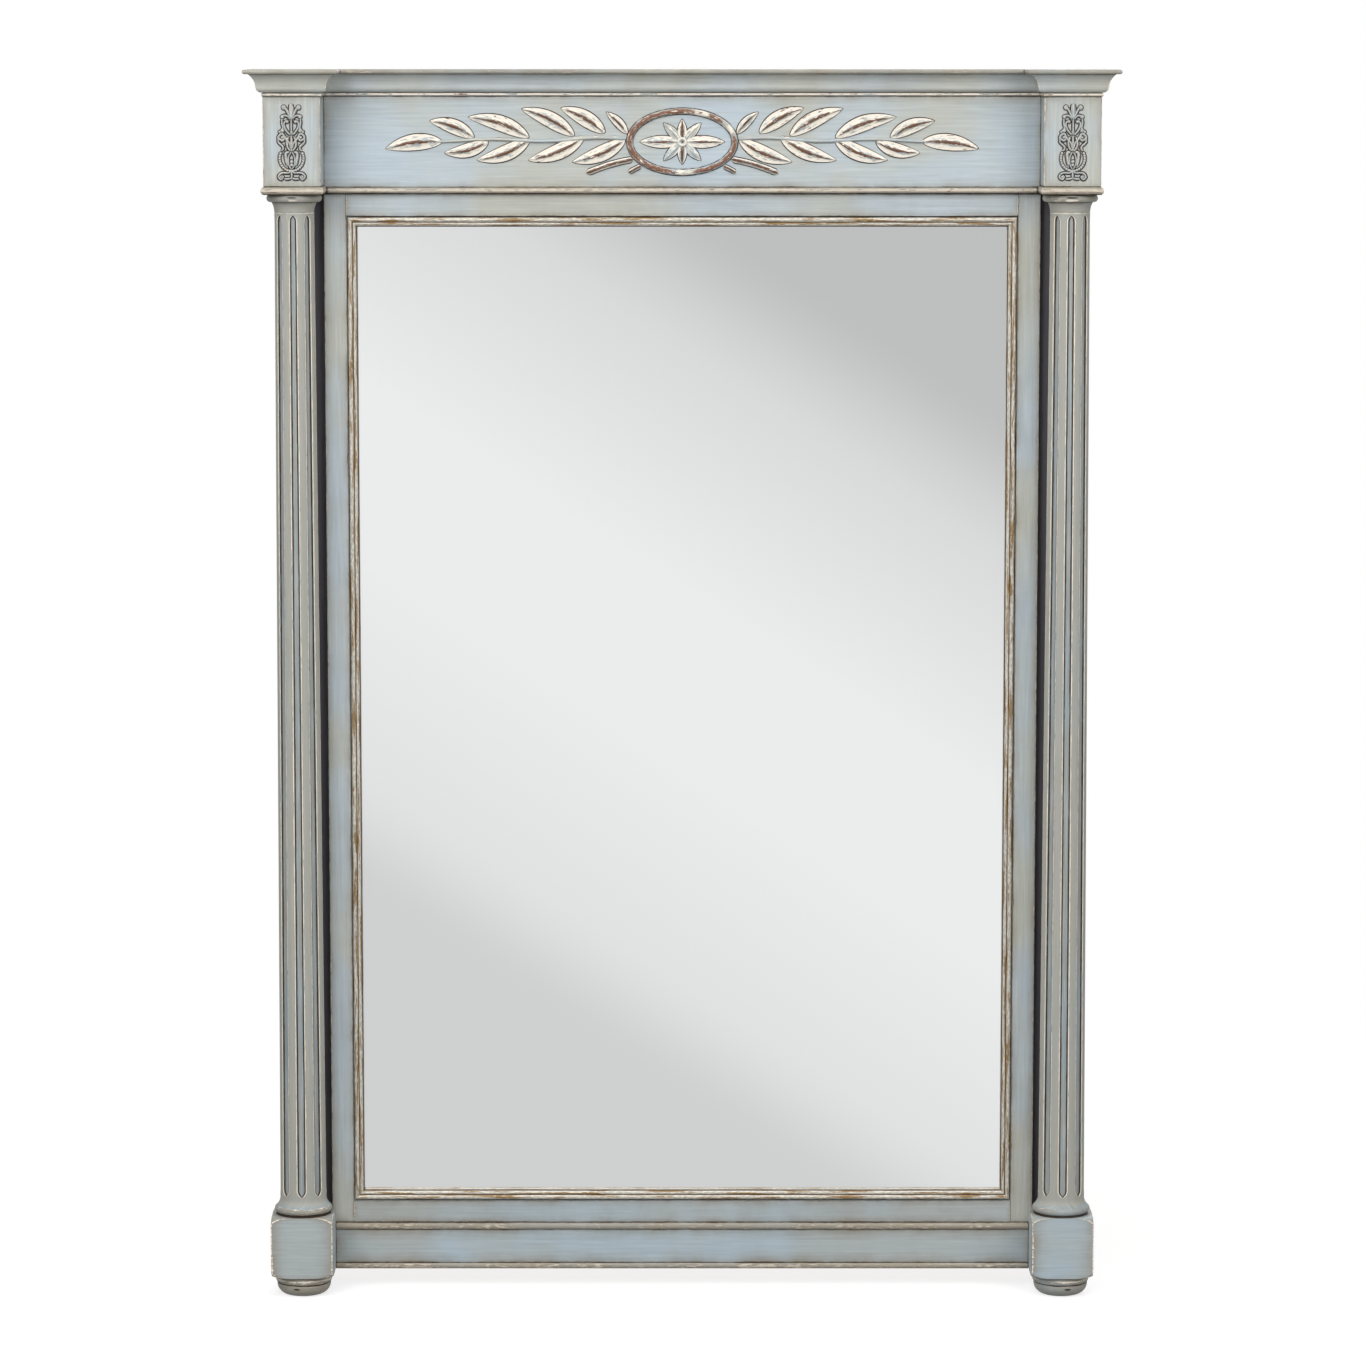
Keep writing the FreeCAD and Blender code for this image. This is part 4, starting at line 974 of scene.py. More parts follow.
@dataclass
class Columns:
    """Bun feet, base blocks, fluted shafts and capitals, sizes in millimetres."""

    block_half: float = 39.45
    block_height: float = 77.9
    block_low: float = 27.0
    shoulder: float = 9.0
    neck: Pair = (34.0, 2.1)
    torus: Pair = (36.8, 9.0)
    shaft_low: float = 116.0
    shaft_high: float = 1384.0
    shaft_radii: Pair = (29.6, 25.0)
    flare: Pair = (34.2, 11.0)
    flutes: int = 8
    flute_depth: float = 2.2
    flute_widths: Pair = (10.5, 8.2)
    flute_margins: Pair = (14.0, 2.0)

    def build(self) -> None:
        """Builds and dresses both columns."""
        low, high = corners_of("foot_right")
        self.centre = np.array([(low[0] + high[0]) / 2, (low[1] + high[1]) / 2, 0.0]) * MM
        pair("foot", [self.foot()], Finish.FEET_PAINTED_LIGHT)
        pair("column_base", [self.base()], Finish.LOW)
        pair("column_shaft", [self.shaft()], Finish.COLUMN)
        pair("capital", [self.capital()], Finish.COLUMN)

    def foot(self) -> Skin:
        """A flat ring over a bun, turned, with one chip at its front."""
        steps = [(0.0, 0.0), (21.0, 0.0), ((30.7, 4.6), (34.5, 15.0)), (33.0, 16.5), (35.0, 16.5),
                 ((36.5, 21.75), (35.0, 27.0)), (0.0, 27.0)]
        outline = Outline.traced(steps, ((35.0, 27.0), (33.0, 16.5)), 2.1)
        radius, height = outline.points.T
        outline.rubbed = np.maximum(outline.rubbed, 0.62 * near(height - 21.2, 1.9) * (radius > 30))
        skin = turned(outline, self.centre)
        angle = np.linspace(0, ROUND, len(skin.points))[:, None]
        chip = near(angle - 1.57 * math.pi, 0.16) * near(skin.points[..., 2] / MM - 11.0, 1.8)
        skin.quirk = np.maximum(skin.quirk, chip)
        return skin

    def base(self) -> Skin:
        """The square block inside a turned form that rounds its shoulders, with the torus on top.

        At each angle the radius is the smaller of the turned profile's and the square's, blended over
        0.8 mm so that the arris between them is soft.
        """
        face, drop, top, soft = self.block_half, self.shoulder, self.block_height, 0.8
        corner, side = face * math.sqrt(2) + 1.0, face - soft
        bulge = side + (corner - side) * 0.72
        (neck, rise), (crest, tall) = self.neck, self.torus
        low = top + rise
        steps = [(0.0, 0.0), (side, 0.0), ((bulge, drop * 0.28), (corner, drop)), (corner, top - drop),
                 ((bulge, top - drop * 0.28), (side, top)), (neck, top), (neck, low), (crest - tall / 2, low),
                 ((crest, low + tall / 2), (self.flare[0], low + tall)), (0.0, low + tall)]
        outline = Outline.traced(steps, ((side, 0.0), (neck, top), (neck, low)), 1.6)
        skin = turned(outline, self.centre + UPWARDS * self.block_low * MM, 240)
        angle = np.linspace(0, ROUND, len(skin.points))[:, None]
        square = face / np.maximum(np.abs(np.cos(angle)), np.abs(np.sin(angle)))
        radius = np.append(outline.points[:, 0], outline.points[0, 0])
        gap = square - radius
        limited = (square + radius - np.sqrt(gap ** 2 + soft ** 2)) / 2 + 0.05
        limited = np.minimum(np.where(gap > 8, radius, limited), square - 0.02)
        scale = np.where(radius > 1e-6, limited / np.maximum(radius, 1e-6), 1.0)
        centre = self.centre[:2]
        skin.points[..., :2] = centre + (skin.points[..., :2] - centre) * scale[..., None]
        inside = gap < 0
        off_corner = np.abs((angle + math.pi / 4) % (math.pi / 2) - math.pi / 4)
        arris = np.exp(-(math.pi / 4 - off_corner) * face * 1.2 / 1.6) * inside
        meeting = np.exp(-np.abs(gap) / 1.5) * (radius > face)
        skin.rubbed = np.maximum.reduce([np.where(inside, 0, skin.rubbed), arris, meeting])
        return skin

    def shaft(self) -> Skin:
        """A tapered shaft with stopped flutes.

        Round the shaft, each flute's samples follow its own edges, which close in a half circle at
        both ends, so that the arris between rib and flute is one line of the mesh. The floor lies
        flute_depth below the rib and the walls are 0.5 mm wide.
        """
        low, high = self.shaft_low, self.shaft_high
        (foot, head), (lower, upper) = self.shaft_radii, self.flute_widths
        flare_radius, flare_height = self.flare
        first, last = low + self.flute_margins[0], high - self.flute_margins[1]
        quarter = 1 - np.cos(np.linspace(0, math.pi / 2, 10))
        z = np.unique(np.round(np.concatenate([
            low + np.linspace(0, 1, 9) ** 1.3 * flare_height, np.linspace(low + flare_height, first, 3),
            first + lower / 2 * quarter, np.linspace(first + 8, last - 8, 26), last - upper / 2 * quarter,
            [high - 4.0, high]]), 4))
        flaring = ((low + flare_height - z) / flare_height).clip(0, 1)
        radius = foot + (head - foot) * (z - low) / (high - low) + (flare_radius - foot) * flaring ** 2.2
        half = (lower + (upper - lower) * ((z - first) / (last - first)).clip(0, 1)) / 2
        from_end = np.minimum(z - first, last - z)
        edge = half * (1 - (1 - (from_end / (1.5 * half)).clip(0, 1)) ** 1.8)
        closed = (edge / 1.2).clip(0, 1)
        pitch = ROUND / self.flutes
        rib_half = pitch * radius / 2

        def rows(rib: Array, wall: Array, floor: Array, sign: int = 1) -> Array:
            """One flute's rows, mirrored about its floor, without the last, which starts the next."""
            side = np.vstack([rib, wall])
            return np.vstack([side, floor[None], sign * side[::-1]])[:-1]

        rib = np.array([0.0, 0.25, 0.5, 0.75, 0.9])[:, None]
        flat = 0 * rib * edge
        walls = [(1.3, 0.0, 0.5, 0.0, 1.0), (0.45, 0.06, 0.9, 0.0, 1.0), (0.0, 0.35, 0.2, 0.6, 0.6),
                 (-0.35, 0.85, 0.0, 1.0, 0.0), (-1.1, 1.0, 0.0, 1.0, 0.0), (-2.1, 1.0, 0.0, 0.3, 0.0)]
        place, deep, wear, wax, ribbed = np.array(walls).T[..., None]
        across = rows(-rib_half + (rib_half - edge - walls[0][0] * closed) * rib, -edge - place * closed,
                      0 * edge, -1)
        ribs = rows(flat + 1, np.where(closed > 0.5, ribbed, 1.0), 1.0 * (closed <= 0.5))
        marks = (rows(flat, self.flute_depth * deep * closed, self.flute_depth * closed),
                 rows(flat, wear * closed, 0 * edge), rows(flat, wax * closed, 0 * edge),
                 ribs * (1 - 0.8 * flaring))
        depth, rubbed, quirk, heart = (np.vstack([mark] * self.flutes + [mark[:1]]) for mark in marks)
        turns = np.arange(self.flutes)[:, None, None] * pitch - math.pi / 2 + across / radius
        turns = turns.reshape(-1, len(z))
        turns = np.vstack([turns, turns[:1] + ROUND])
        reach = (radius - depth) * MM
        level = np.broadcast_to(z * MM, reach.shape)
        points = np.stack([reach * np.cos(turns), reach * np.sin(turns), level], axis=2) + self.centre
        poles = [np.tile(self.centre + UPWARDS * end * MM, (len(points), 1, 1)) for end in (z[0], z[-1])]
        member = np.stack([level, turns * radius * MM], axis=2)
        return Skin(np.concatenate([poles[0], points, poles[1]], axis=1),
                    *(np.pad(mark, ((0, 0), (1, 1))) for mark in (rubbed, quirk, heart)),
                    np.pad(member, ((0, 0), (1, 1), (0, 0)), mode="edge"))

    def capital(self) -> Skin:
        """A bell under a round-edged ring, turned, with one chip at its front."""
        steps = [(0.0, 0.0), (25.0, 0.0), ((26.1, 8.8), (28.6, 14.6)), (31.7, 14.6),
                 ((34.8, 19.3), (31.7, 24.0)), (0.0, 24.0)]
        outline = Outline.traced(steps, ((31.7, 24.0), (28.6, 14.6)), 1.5)
        outline.heart[:] = 1.0
        skin = turned(outline, self.centre + UPWARDS * self.shaft_high * MM)
        front = near(np.linspace(0, ROUND, len(skin.points))[:, None] - 1.5 * math.pi, 0.3)
        height = skin.points[..., 2] / MM - self.shaft_high
        skin.quirk = np.maximum(skin.quirk, front * near(height - 20.5, 1.8))
        skin.rubbed = np.maximum(skin.rubbed, front * near(height - 17.0, 1.6))
        return skin


@dataclass
class Facing:
    """The flat frame round the glass, its leafed bead and the plinth, sizes in millimetres."""

    strip_proud: float = 3.5
    bead: tuple[Step, ...] = ((0.0, 0.0), (0.0, 6.0), (1.2, 6.0), (1.2, 10.0), ((4.2, 13.0), (7.2, 10.0)),
                              ((9.6, 10.8), (12.0, 7.8)), (13.2, 7.2), (13.2, 0.0))
    bead_seams: tuple[Pair, ...] = ((1.2, 6.0), (7.2, 10.0), (12.6, 7.4))

    def build(self) -> None:
        """Builds and dresses the flat members, the plinth and the bead."""
        pair("facing_stile", board(*corners_of("facing_stile_right"), 1.2, 2, "-x-z+z"), Finish.PAINT)
        for name, ease, seams, finish in (("facing_rail_top", 0.4, "-z+z", Finish.PAINT),
                                          ("facing_rail_bottom", 0.4, "-z+z", Finish.LOW),
                                          ("plinth_board", 0.6, "-x+x-z+z", Finish.LOW)):
            stand_in(name, board(*corners_of(name), ease, 0, seams), finish)
        self.strip("plinth_cap_strip")
        self.strip("plinth_foot_strip")
        self.mitred_bead()

    def strip(self, name: str) -> None:
        """A round-fronted strip along the plinth.

        Args:
            name: The CAD node.
        """
        low, high = corners_of(name)
        face, tall = corners_of("plinth_board")[0][1], high[2] - low[2]
        steps = [(0.0, 0.0), ((self.strip_proud, tall / 2), (0.0, tall)), (-14.0, tall), (-14.0, 0.0)]
        path = course([(low[0], face), (high[0], face)], low[2])
        stand_in(name, [carried(Outline.traced(steps, ((0.0, tall),), 1.6, 0.5), *path)], Finish.EDGES)

    def mitred_bead(self) -> None:
        """Four mitred lengths of the (inwards, forwards) profile.

        At each end a point's inward distance also moves it along, which cuts the mitre.
        """
        outline = Outline.traced(self.bead, self.bead_seams, 0.7, 0.4)
        left, right = corners_of("bead_left")[0][0], corners_of("bead_right")[1][0]
        low, (_, ground, high) = corners_of("bead_bottom")[0][2], corners_of("bead_top")[1]
        corners = [(left, low), (right, low), (right, high), (left, high), (left, low)]
        for i, name in enumerate(("bead_bottom", "bead_right", "bead_top", "bead_left")):
            origins = np.array([(x, ground, z) for x, z in corners[i:i + 2]]) * MM
            run = (origins[1] - origins[0]) / np.linalg.norm(origins[1] - origins[0])
            inward = np.array([-run[2], 0.0, run[0]])
            skin = carried(outline, origins, np.array([inward + run, inward - run]), FORWARDS)
            stand_in(name, [skin], Finish.LEAF)


@dataclass
class Leaf:
    """One carved laurel leaf: base and tip are (x, z) from the middle of the frieze, in millimetres."""

    base: Pair
    tip: Pair
    width: float
    bow: float = 0.06
    rise: float = 4.9

    def skins(self, ground: float, middle: float, streak: float = 1.0) -> list[Skin]:
        """The leaf over a low rim of dark wax.

        Args:
            ground: Y of the board's face, in millimetres.
            middle: Z of the ornament's centre.
            streak: How wide the streak of bare wood is, nought for none.

        Returns:
            The leaf and the rim.
        """
        body = self.skin(ground, middle)
        bared = body.heart ** (1 / streak) if streak else body.heart * 0
        body.rubbed = body.rubbed / (1 - body.heart).clip(0.05, 1) * (1 - bared)
        body.heart = bared
        base, tip = np.array(self.base), np.array(self.tip)
        beyond = (tip - base) * 1.1 / np.hypot(*(tip - base))
        rim = replace(self, base=tuple(base - beyond), tip=tuple(tip + beyond), width=self.width + 2.6,
                      rise=WAX_RISE)
        return [body, rim.skin(ground, middle).as_wax()]

    def skin(self, ground: float, middle: float) -> Skin:
        """A leaf whose half width is width/2 x sin(pi s^0.85)^0.7, with a raised midrib.

        Across the leaf the height is rim + (1 - rim) x (1 - |t|)^1.3, a hollow flank up to the
        midrib, over an upright wall at the rim. Along it the height falls to nothing at both ends,
        and the midrib bows to one side by bow x length x sin(pi s).

        Args:
            ground: Y of the board's face, in millimetres.
            middle: Z of the ornament's centre.

        Returns:
            The closed leaf.
        """
        s = (1 - np.cos(np.linspace(0, math.pi, 34))) / 2
        arch = np.sin(math.pi * s).clip(0, None)
        start, run = np.array(self.base), np.array(self.tip) - np.array(self.base)
        length = np.hypot(*run)
        side = np.array([-run[1], run[0]]) / length
        spine = start + run * s[:, None] + side * (self.bow * length * arch)[:, None]
        half = self.width / 2 * np.sin(math.pi * s ** 0.85).clip(0, None) ** 0.7
        slope = np.gradient(spine, axis=0)
        normal = np.column_stack([-slope[:, 1], slope[:, 0]]) / np.hypot(*slope.T)[:, None]
        t = np.linspace(-1, 1, 19)
        flank = (0.42 + 0.58 * (1 - np.abs(t)) ** 1.3 - 0.1 * near(np.abs(t) - 0.42, 0.2)
                 + 0.07 * near(np.abs(t) - 0.9, 0.1))
        lift = np.concatenate([[0.0], flank, [0.0, 0.0]])
        t = np.concatenate([[-1.0], t, [1.0, -1.0]])
        beside = half[:, None] * t
        across = spine[:, None, :] + normal[:, None, :] * beside[..., None]
        height = lift * (self.rise * arch ** 0.45)[:, None]
        points = np.stack([across[..., 0], ground - height, middle + across[..., 1]], axis=2) * MM
        top = np.tile(lift > 0, (len(s), 1))
        heart = near(t, 0.3) * arch[:, None] ** 0.35 * top
        rubbed = (0.72 + 0.28 * near(np.abs(t) - 0.93, 0.16)) * (1 - heart) * top
        member = np.stack(np.broadcast_arrays((s * length * MM)[:, None] + start[0] * 0.013,
                                              beside * MM + start[1] * 0.017), axis=2)
        return Skin(points, rubbed, 1.0 - top, heart, member)


@dataclass
class Carving:
    """The laurel sprays, the oval ring, the rosette and the scroll ornaments, in millimetres.

    A leaf is (base, tip, width, bow), a cut stem (start, end, width, sag), and a petal
    (length, width, streak), the first one level and the others in turn.
    """

    ring: Pair = (69.7, 41.9)
    ring_band: float = 7.2
    ring_rise: float = 4.6
    leaves: tuple[tuple[Pair, Pair, float, float], ...] = (
        ((97.5, 11.3), (152.1, 42.0), 19.0, 0.06), ((136.0, 8.0), (201.5, 41.0), 19.0, 0.06),
        ((193.0, 5.7), (268.3, 30.6), 19.0, 0.07), ((262.0, 5.5), (316.7, 26.0), 17.5, 0.07),
        ((302.0, 0.0), (372.2, -8.5), 20.0, 0.05),
        ((72.0, 2.5), (137.6, -25.1), 19.0, -0.06), ((123.6, 5.9), (193.0, -22.9), 19.0, -0.06),
        ((192.0, 3.0), (257.4, -22.6), 19.0, -0.07), ((244.0, 0.0), (298.2, -13.8), 17.0, -0.07),
        ((69.0, 10.3), (95.4, 36.8), 11.0, 0.05))
    cuts: tuple[tuple[Pair, Pair, float, float], ...] = (
        ((61.0, -21.6), (121.0, -39.4), 7.0, 2.0), ((51.8, -30.4), (67.5, -38.6), 5.2, 0.5))
    petals: tuple[tuple[float, float, float], ...] = (
        (52.8, 15.0, 0.6), (33.0, 11.0, 0.0), (27.8, 11.0, 3.0), (33.0, 11.0, 0.0))

    def build(self) -> None:
        """Builds and dresses the carving on the frieze and on the dies."""
        low, high = corners_of("oval_ring")
        self.ground, self.middle = corners_of("frieze_board")[0][1], (low[2] + high[2]) / 2
        pair("laurel_spray", self.spray(), Finish.CARVING)
        pair("crossed_stems", self.stems(), Finish.CARVING)
        stand_in("oval_ring", [self.oval()], Finish.RING)
        stand_in("rosette", self.rosette(), Finish.CARVING)
        pair("applique", ScrollOrnament().skins(), Finish.COMPOSITION)

    def on_board(self, x: Array, z: Array) -> Array:
        """Points of the frieze's face, from places about the ornament's centre."""
        return np.column_stack([x, 0 * x + self.ground, self.middle + z])

    def spray(self) -> list[Skin]:
        """Leaves in pairs off one waving stalk."""
        skins = []
        for leaf in self.leaves:
            skins += Leaf(*leaf).skins(self.ground, self.middle)
        s = np.linspace(0, 1, 60)
        z = 3.6 + 2.2 * np.sin(s * 3.4 * math.pi) * (1 - 0.5 * s) - 2.5 * s
        stalk = strand(self.on_board(70.5 + s * 236.0, z), 5.0 - 2.2 * s, 3.4, halo=0.8)
        stalk[0].rubbed *= 0.3
        stalk[0].heart *= 0.0
        stalk[1].quirk *= 0.4
        return skins + stalk

    def stems(self) -> list[Skin]:
        """The cut ends of the sprays, below the ring."""
        skins = []
        s = np.linspace(0, 1, 16)
        for start, end, width, sag in self.cuts:
            x, z = (a + (b - a) * s for a, b in zip(start, end))
            stem = strand(self.on_board(x, z + sag * np.sin(math.pi * s)), width, 4.2, halo=1.2)
            stem[0].heart = stem[0].heart ** 0.35
            skins += stem
        return skins

    def oval(self) -> Skin:
        """The ring: a rounded band carried round an ellipse, its width measured square to it."""
        angle = np.linspace(0, ROUND, 161)
        half, rise, wax = self.ring_band / 2, self.ring_rise, WAX_RISE
        a, b, rim = self.ring[0] - half, self.ring[1] - half, half + 1.3
        out = np.column_stack([np.cos(angle) / a, 0 * angle, np.sin(angle) / b])
        out /= np.linalg.norm(out, axis=1, keepdims=True)
        outline = Outline.traced([(-rim, 0.0), (-rim, wax), (-half, wax), (-half, rise * 0.4),
                                  ((0.0, rise), (half, rise * 0.4)), (half, wax), (rim, wax), (rim, 0.0)],
                                 ((-half, wax), (half, wax), (-rim, wax), (rim, wax)), 0.7, 0.5)
        outline.heart = near(outline.points[:, 0], 3.3) * (outline.points[:, 1] > 1)
        origins = self.on_board(a * np.cos(angle), b * np.sin(angle)) * MM
        skin = carried(outline, origins, out, FORWARDS, capped=False)
        chalked = sum(near(angle - at, spread) for at, spread in ((1.2, 0.2), (0.45, 0.35), (4.75, 0.25)))
        skin.heart *= (1 - 0.55 * chalked.clip(0, 1))[:, None]
        skin.rubbed = np.maximum(skin.rubbed, 0.6 * chalked[:, None] * (1 - skin.quirk))
        return skin

    def rosette(self) -> list[Skin]:
        """Eight petals, the level ones longest, round a button with a dimple."""
        skins = []
        for turn in range(8):
            reach, width, streak = self.petals[turn % 4]
            angle = math.radians(45 * turn)
            tip = (reach * math.cos(angle), reach * math.sin(angle))
            petal = Leaf((tip[0] * 0.06, tip[1] * 0.06), tip, width, 0.0, 4.0).skins(
                self.ground, self.middle, streak)
            petal[0].rubbed *= 1.0 if streak else 0.6
            skins += petal
        button = Outline.traced([(0.0, 0.0), (5.9, 0.0), (5.9, 2.6), ((4.6, 4.9), (2.6, 3.6)), (0.0, 2.4)],
                                ((5.9, 0.0), (0.6, 2.6)), 1.2, 0.4)
        return skins + [boss(button, (0.0, self.ground, self.middle), 48)]


@dataclass
class ScrollOrnament:
    """The pierced composition ornament on a die, from strands, volutes, pearls and a lily.

    Places are (x, z) in millimetres from the middle of its foot. A strand is (points, width) and a
    pearl (place, radius). The sides are mirrored about its own axis.
    """

    width: float = 35.8
    height: float = 96.5
    rise: float = 3.1
    stem: tuple[tuple[float, float, float], ...] = (
        (1.5, 14, 3.4), (36, 56, 3.6), (56, 77, 3.0), (76, 96.3, 7.0))
    stem_pearls: tuple[Pair, ...] = ((84.4, 2.3), (80.0, 2.3), (23.4, 2.4), (19.4, 2.1), (60.5, 2.0))
    scrolls: tuple[tuple[tuple[Pair, ...], float], ...] = (
        (((0.5, 77), (3, 82), (6, 88), (8.6, 91)), 3.6),
        (((1, 76), (5, 80), (9, 80.5), (11, 79)), 3.2),
        (((11.5, 77), (11.6, 71), (10.5, 65), (14, 61)), 3.2),
        (((0.5, 57.5), (3.5, 58.5), (8, 65), (9, 71), (6, 75)), 3.2),
        (((1.2, 40), (2.4, 46), (6.5, 51), (11.4, 58.2), (16.3, 53.7), (11.4, 49.6), (8.6, 53.4),
          (11.4, 55.8)), 3.3),
        (((17, 55), (16.4, 48), (11, 42.5), (10.6, 39), (13.4, 36.5)), 3.0),
        (((1, 36.5), (4.6, 41), (5.6, 47), (4.4, 52)), 3.4),
        (((2.5, 35.5), (7, 34), (6.6, 26), (5, 18)), 4.6),
        (((0.3, 36), (3.8, 29), (3.6, 20), (0.4, 14)), 2.6),
        (((0, 12), (4, 9.4), (9, 9.8), (14, 8.6), (16.6, 4.6), (13.2, 1.4), (10.6, 4.6), (13, 6.4)), 3.0),
        (((0.5, 3), (5, 2.0), (9.4, 2.2)), 3.2))
    knobs: tuple[tuple[Pair, float], ...] = (
        ((9.1, 90.6), 3.0), ((11.0, 79.0), 2.5), ((5.4, 73.0), 2.2), ((11.0, 62.0), 2.5),
        ((14.5, 60.5), 1.8), ((11.4, 53.7), 2.0), ((13.2, 4.7), 1.8), ((4.4, 52.5), 1.6))

    def skins(self) -> list[Skin]:
        """All its strands and pearls, on the right-hand die."""
        die_low, die_high = corners_of("die_right")
        self.foot = np.array([(die_low[0] + die_high[0]) / 2, die_low[1], corners_of("applique_right")[0][2]])
        made = []
        for low, high, width in self.stem:
            made += self.ribbon([(0, low), (0, (low + high) / 2), (0, high)], width)
        for z, radius in self.stem_pearls:
            made += self.pearl((0, z), radius)
        for points, width in self.scrolls:
            for sign in (-1, 1):
                made += self.ribbon([(sign * x, z) for x, z in points], width)
        crescent = [((14.9 * math.cos(a), 27.5 + 15.5 * math.sin(a)), 1.9)
                    for a in np.linspace(0.42, -1.42, 10)]
        for (x, z), radius in list(self.knobs) + crescent:
            made += self.pearl((x, z), radius) + self.pearl((-x, z), radius)
        return made

    def ribbon(self, points: Sequence[Pair], width: float) -> list[Skin]:
        """A strand along a smooth curve through the points.

        The curve is the Catmull-Rom spline: between two points it blends them with the slopes of
        their neighbours.

        Args:
            points: Where it passes.
            width: Its nominal width. It is 0.86 of that at its middle and narrows to its ends.

        Returns:
            The strand and its rim of wax.
        """
        knots = np.array(points, float)
        padded = np.vstack([2 * knots[0] - knots[1], knots, 2 * knots[-1] - knots[-2]])
        t = np.arange(8)[:, None] / 8
        spans = [0.5 * (2 * p1 + (p2 - p0) * t + (2 * p0 - 5 * p1 + 4 * p2 - p3) * t ** 2
                        + (3 * p1 - p0 - 3 * p2 + p3) * t ** 3)
                 for p0, p1, p2, p3 in zip(padded, padded[1:], padded[2:], padded[3:])]
        x, z = np.vstack(spans + [knots[-1:]]).T
        room = (self.width - width) / 2
        path = self.foot + np.column_stack([x.clip(-room, room), 0 * x, z.clip(0.2, self.height)])
        swell = 0.72 + 0.28 * np.sin(np.linspace(0, math.pi, len(x)))
        # On the ornament, the strand's crest mark takes the pale heart tone: painted highlight.
        return strand(path, swell * width * 0.86, self.rise * 0.9, 7, halo=1.3)

    def pearl(self, place: Pair, radius: float) -> list[Skin]:
        """A half ball on the die's face, over a disc of dark wax.

        Args:
            place: Its centre.
            radius: Its radius.

        Returns:
            The ball and the disc.
        """
        tall, rim = min(radius * 1.3, self.rise), radius + 1.1
        ball = Outline.traced([(0.0, 0.0), (radius, 0.0), ((radius * 0.75, radius * 0.9), (0.0, tall))],
                              ((radius, 0.0),), 0.6, 0.5)
        # Painted highlight: the ball's top takes the pale heart tone.
        ball.heart = (ball.points[:, 1] > radius * 0.7) * 1.0
        disc = Outline.traced([(0.0, 0.0), (rim, 0.0), (rim, WAX_RISE), (0.0, WAX_RISE)], spacing=0.5)
        centre = self.foot + np.array([place[0], 0.0, place[1]])
        return [boss(ball, centre, 16), boss(disc, centre, 16).as_wax()]


@dataclass
class Back:
    """The ground frame, the back board, the glass and the hanging fittings, sizes in millimetres."""

    head: float = 3.6
    head_rise: float = 1.6
    shank: float = 1.75
    recess: Pair = (0.9, 2.1)
    recess_depth: float = 0.8

    def build(self) -> None:
        """Dresses the carried-over pieces and gives the screws cross recesses."""
        refinished(Finish.POSTS, "post_left", "post_right")
        refinished(Finish.PINE, "rail_bottom", "rail_hanging", "rail_cap", "glazing_blocks")
        refinished(Finish.PLYWOOD, "back_board")
        refinished(Finish.GLASS, "mirror_glass")
        refinished(Finish.BRASS, "hanger_strap_left", "hanger_strap_right", "hanger_ring_left",
                   "hanger_ring_right")
        for node in ("back_board_screws", "hanger_screws"):
            stand_in(node, self.screws(node), Finish.STEEL)

    def screws(self, node: str) -> list[Skin]:
        """Screws with a pan head and a cross recess, at the places of a group of plain ones.

        Each is a turned form. Where the smaller of |x| and |z| from its axis is under half the
        recess's width and the larger under its reach, the head's top is pressed in.

        Args:
            node: The CAD node of the group.

        Returns:
            One surface for each screw.
        """
        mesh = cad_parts[node].data
        points = np.empty(len(mesh.vertices) * 3)
        mesh.vertices.foreach_get("co", points)
        points = points.reshape(-1, 3)
        outline = Outline.traced([(0.0, -14.4), (self.shank, -13.0), (self.shank, 0.0), (self.head, 0.0),
                                  (self.head, 0.9), ((self.head * 0.7, 1.4), (0.0, self.head_rise))],
                                 spacing=0.25)
        made = []
        while len(points):
            mine = np.hypot(*(points - points[0])[:, [0, 2]].T) < 2.5 * self.head * MM
            low, high = points[mine].min(axis=0), points[mine].max(axis=0)
            points = points[~mine]
            skin = turned(outline, np.zeros(3), 64)
            x, z, out = np.moveaxis(skin.points, 2, 0)
            narrow, wide = np.minimum(np.abs(x), np.abs(z)), np.maximum(np.abs(x), np.abs(z))
            pressed = (narrow < self.recess[0] / 2 * MM) & (wide < self.recess[1] * MM) & (out > 0.9 * MM)
            skin.quirk = pressed * 1.0
            foot = np.array([(low[0] + high[0]) / 2, high[1] - self.head_rise * MM, (low[2] + high[2]) / 2])
            skin.points = np.stack([x, out - pressed * self.recess_depth * MM, z], axis=2) + foot
            made.append(skin)
        return made


# -------------------------------------------------------------------------------- studio
@dataclass(frozen=True)
class FloorPaper(Surface):
    """Pale paper that takes the shadow near the mirror and runs out to the backdrop's white.

    Seen directly, near floor is its own matt colour plus a glow. Over the distances from the origin
    that fading gives, in metres, it turns plain white by smoothstep.
    """

    matt: str = "#A6A6A6"
    glow: float = 0.7
    fading: Pair = (0.75, 2.6)

    def draw(self, g: Graph) -> None:
        """Matt paper to the light that bounces, and the fading one to the rays that look at it."""
        seen, mirrored, through = (g.add("LightPath", output=f"Is {ray} Ray")
                                   for ray in ("Camera", "Glossy", "Transmission"))
        looked = g.math("MAXIMUM", g.math("MAXIMUM", seen, mirrored), through)
        away = g.add("VectorMath", {0: g.place()}, output="Value", operation="LENGTH")
        matt = g.add("BsdfDiffuse", {"Color": linear(self.matt)})
        glow, white = (g.add("Emission", {"Color": linear("#FFFFFF"), "Strength": strength})
                       for strength in (self.glow, 1.0))
        close = g.add("AddShader", {0: matt, 1: glow})
        shown = g.add("MixShader", {0: g.ramp(away, *self.fading), 1: close, 2: white})
        g.add("OutputMaterial", {"Surface": g.add("MixShader", {0: looked, 1: matt, 2: shown})})


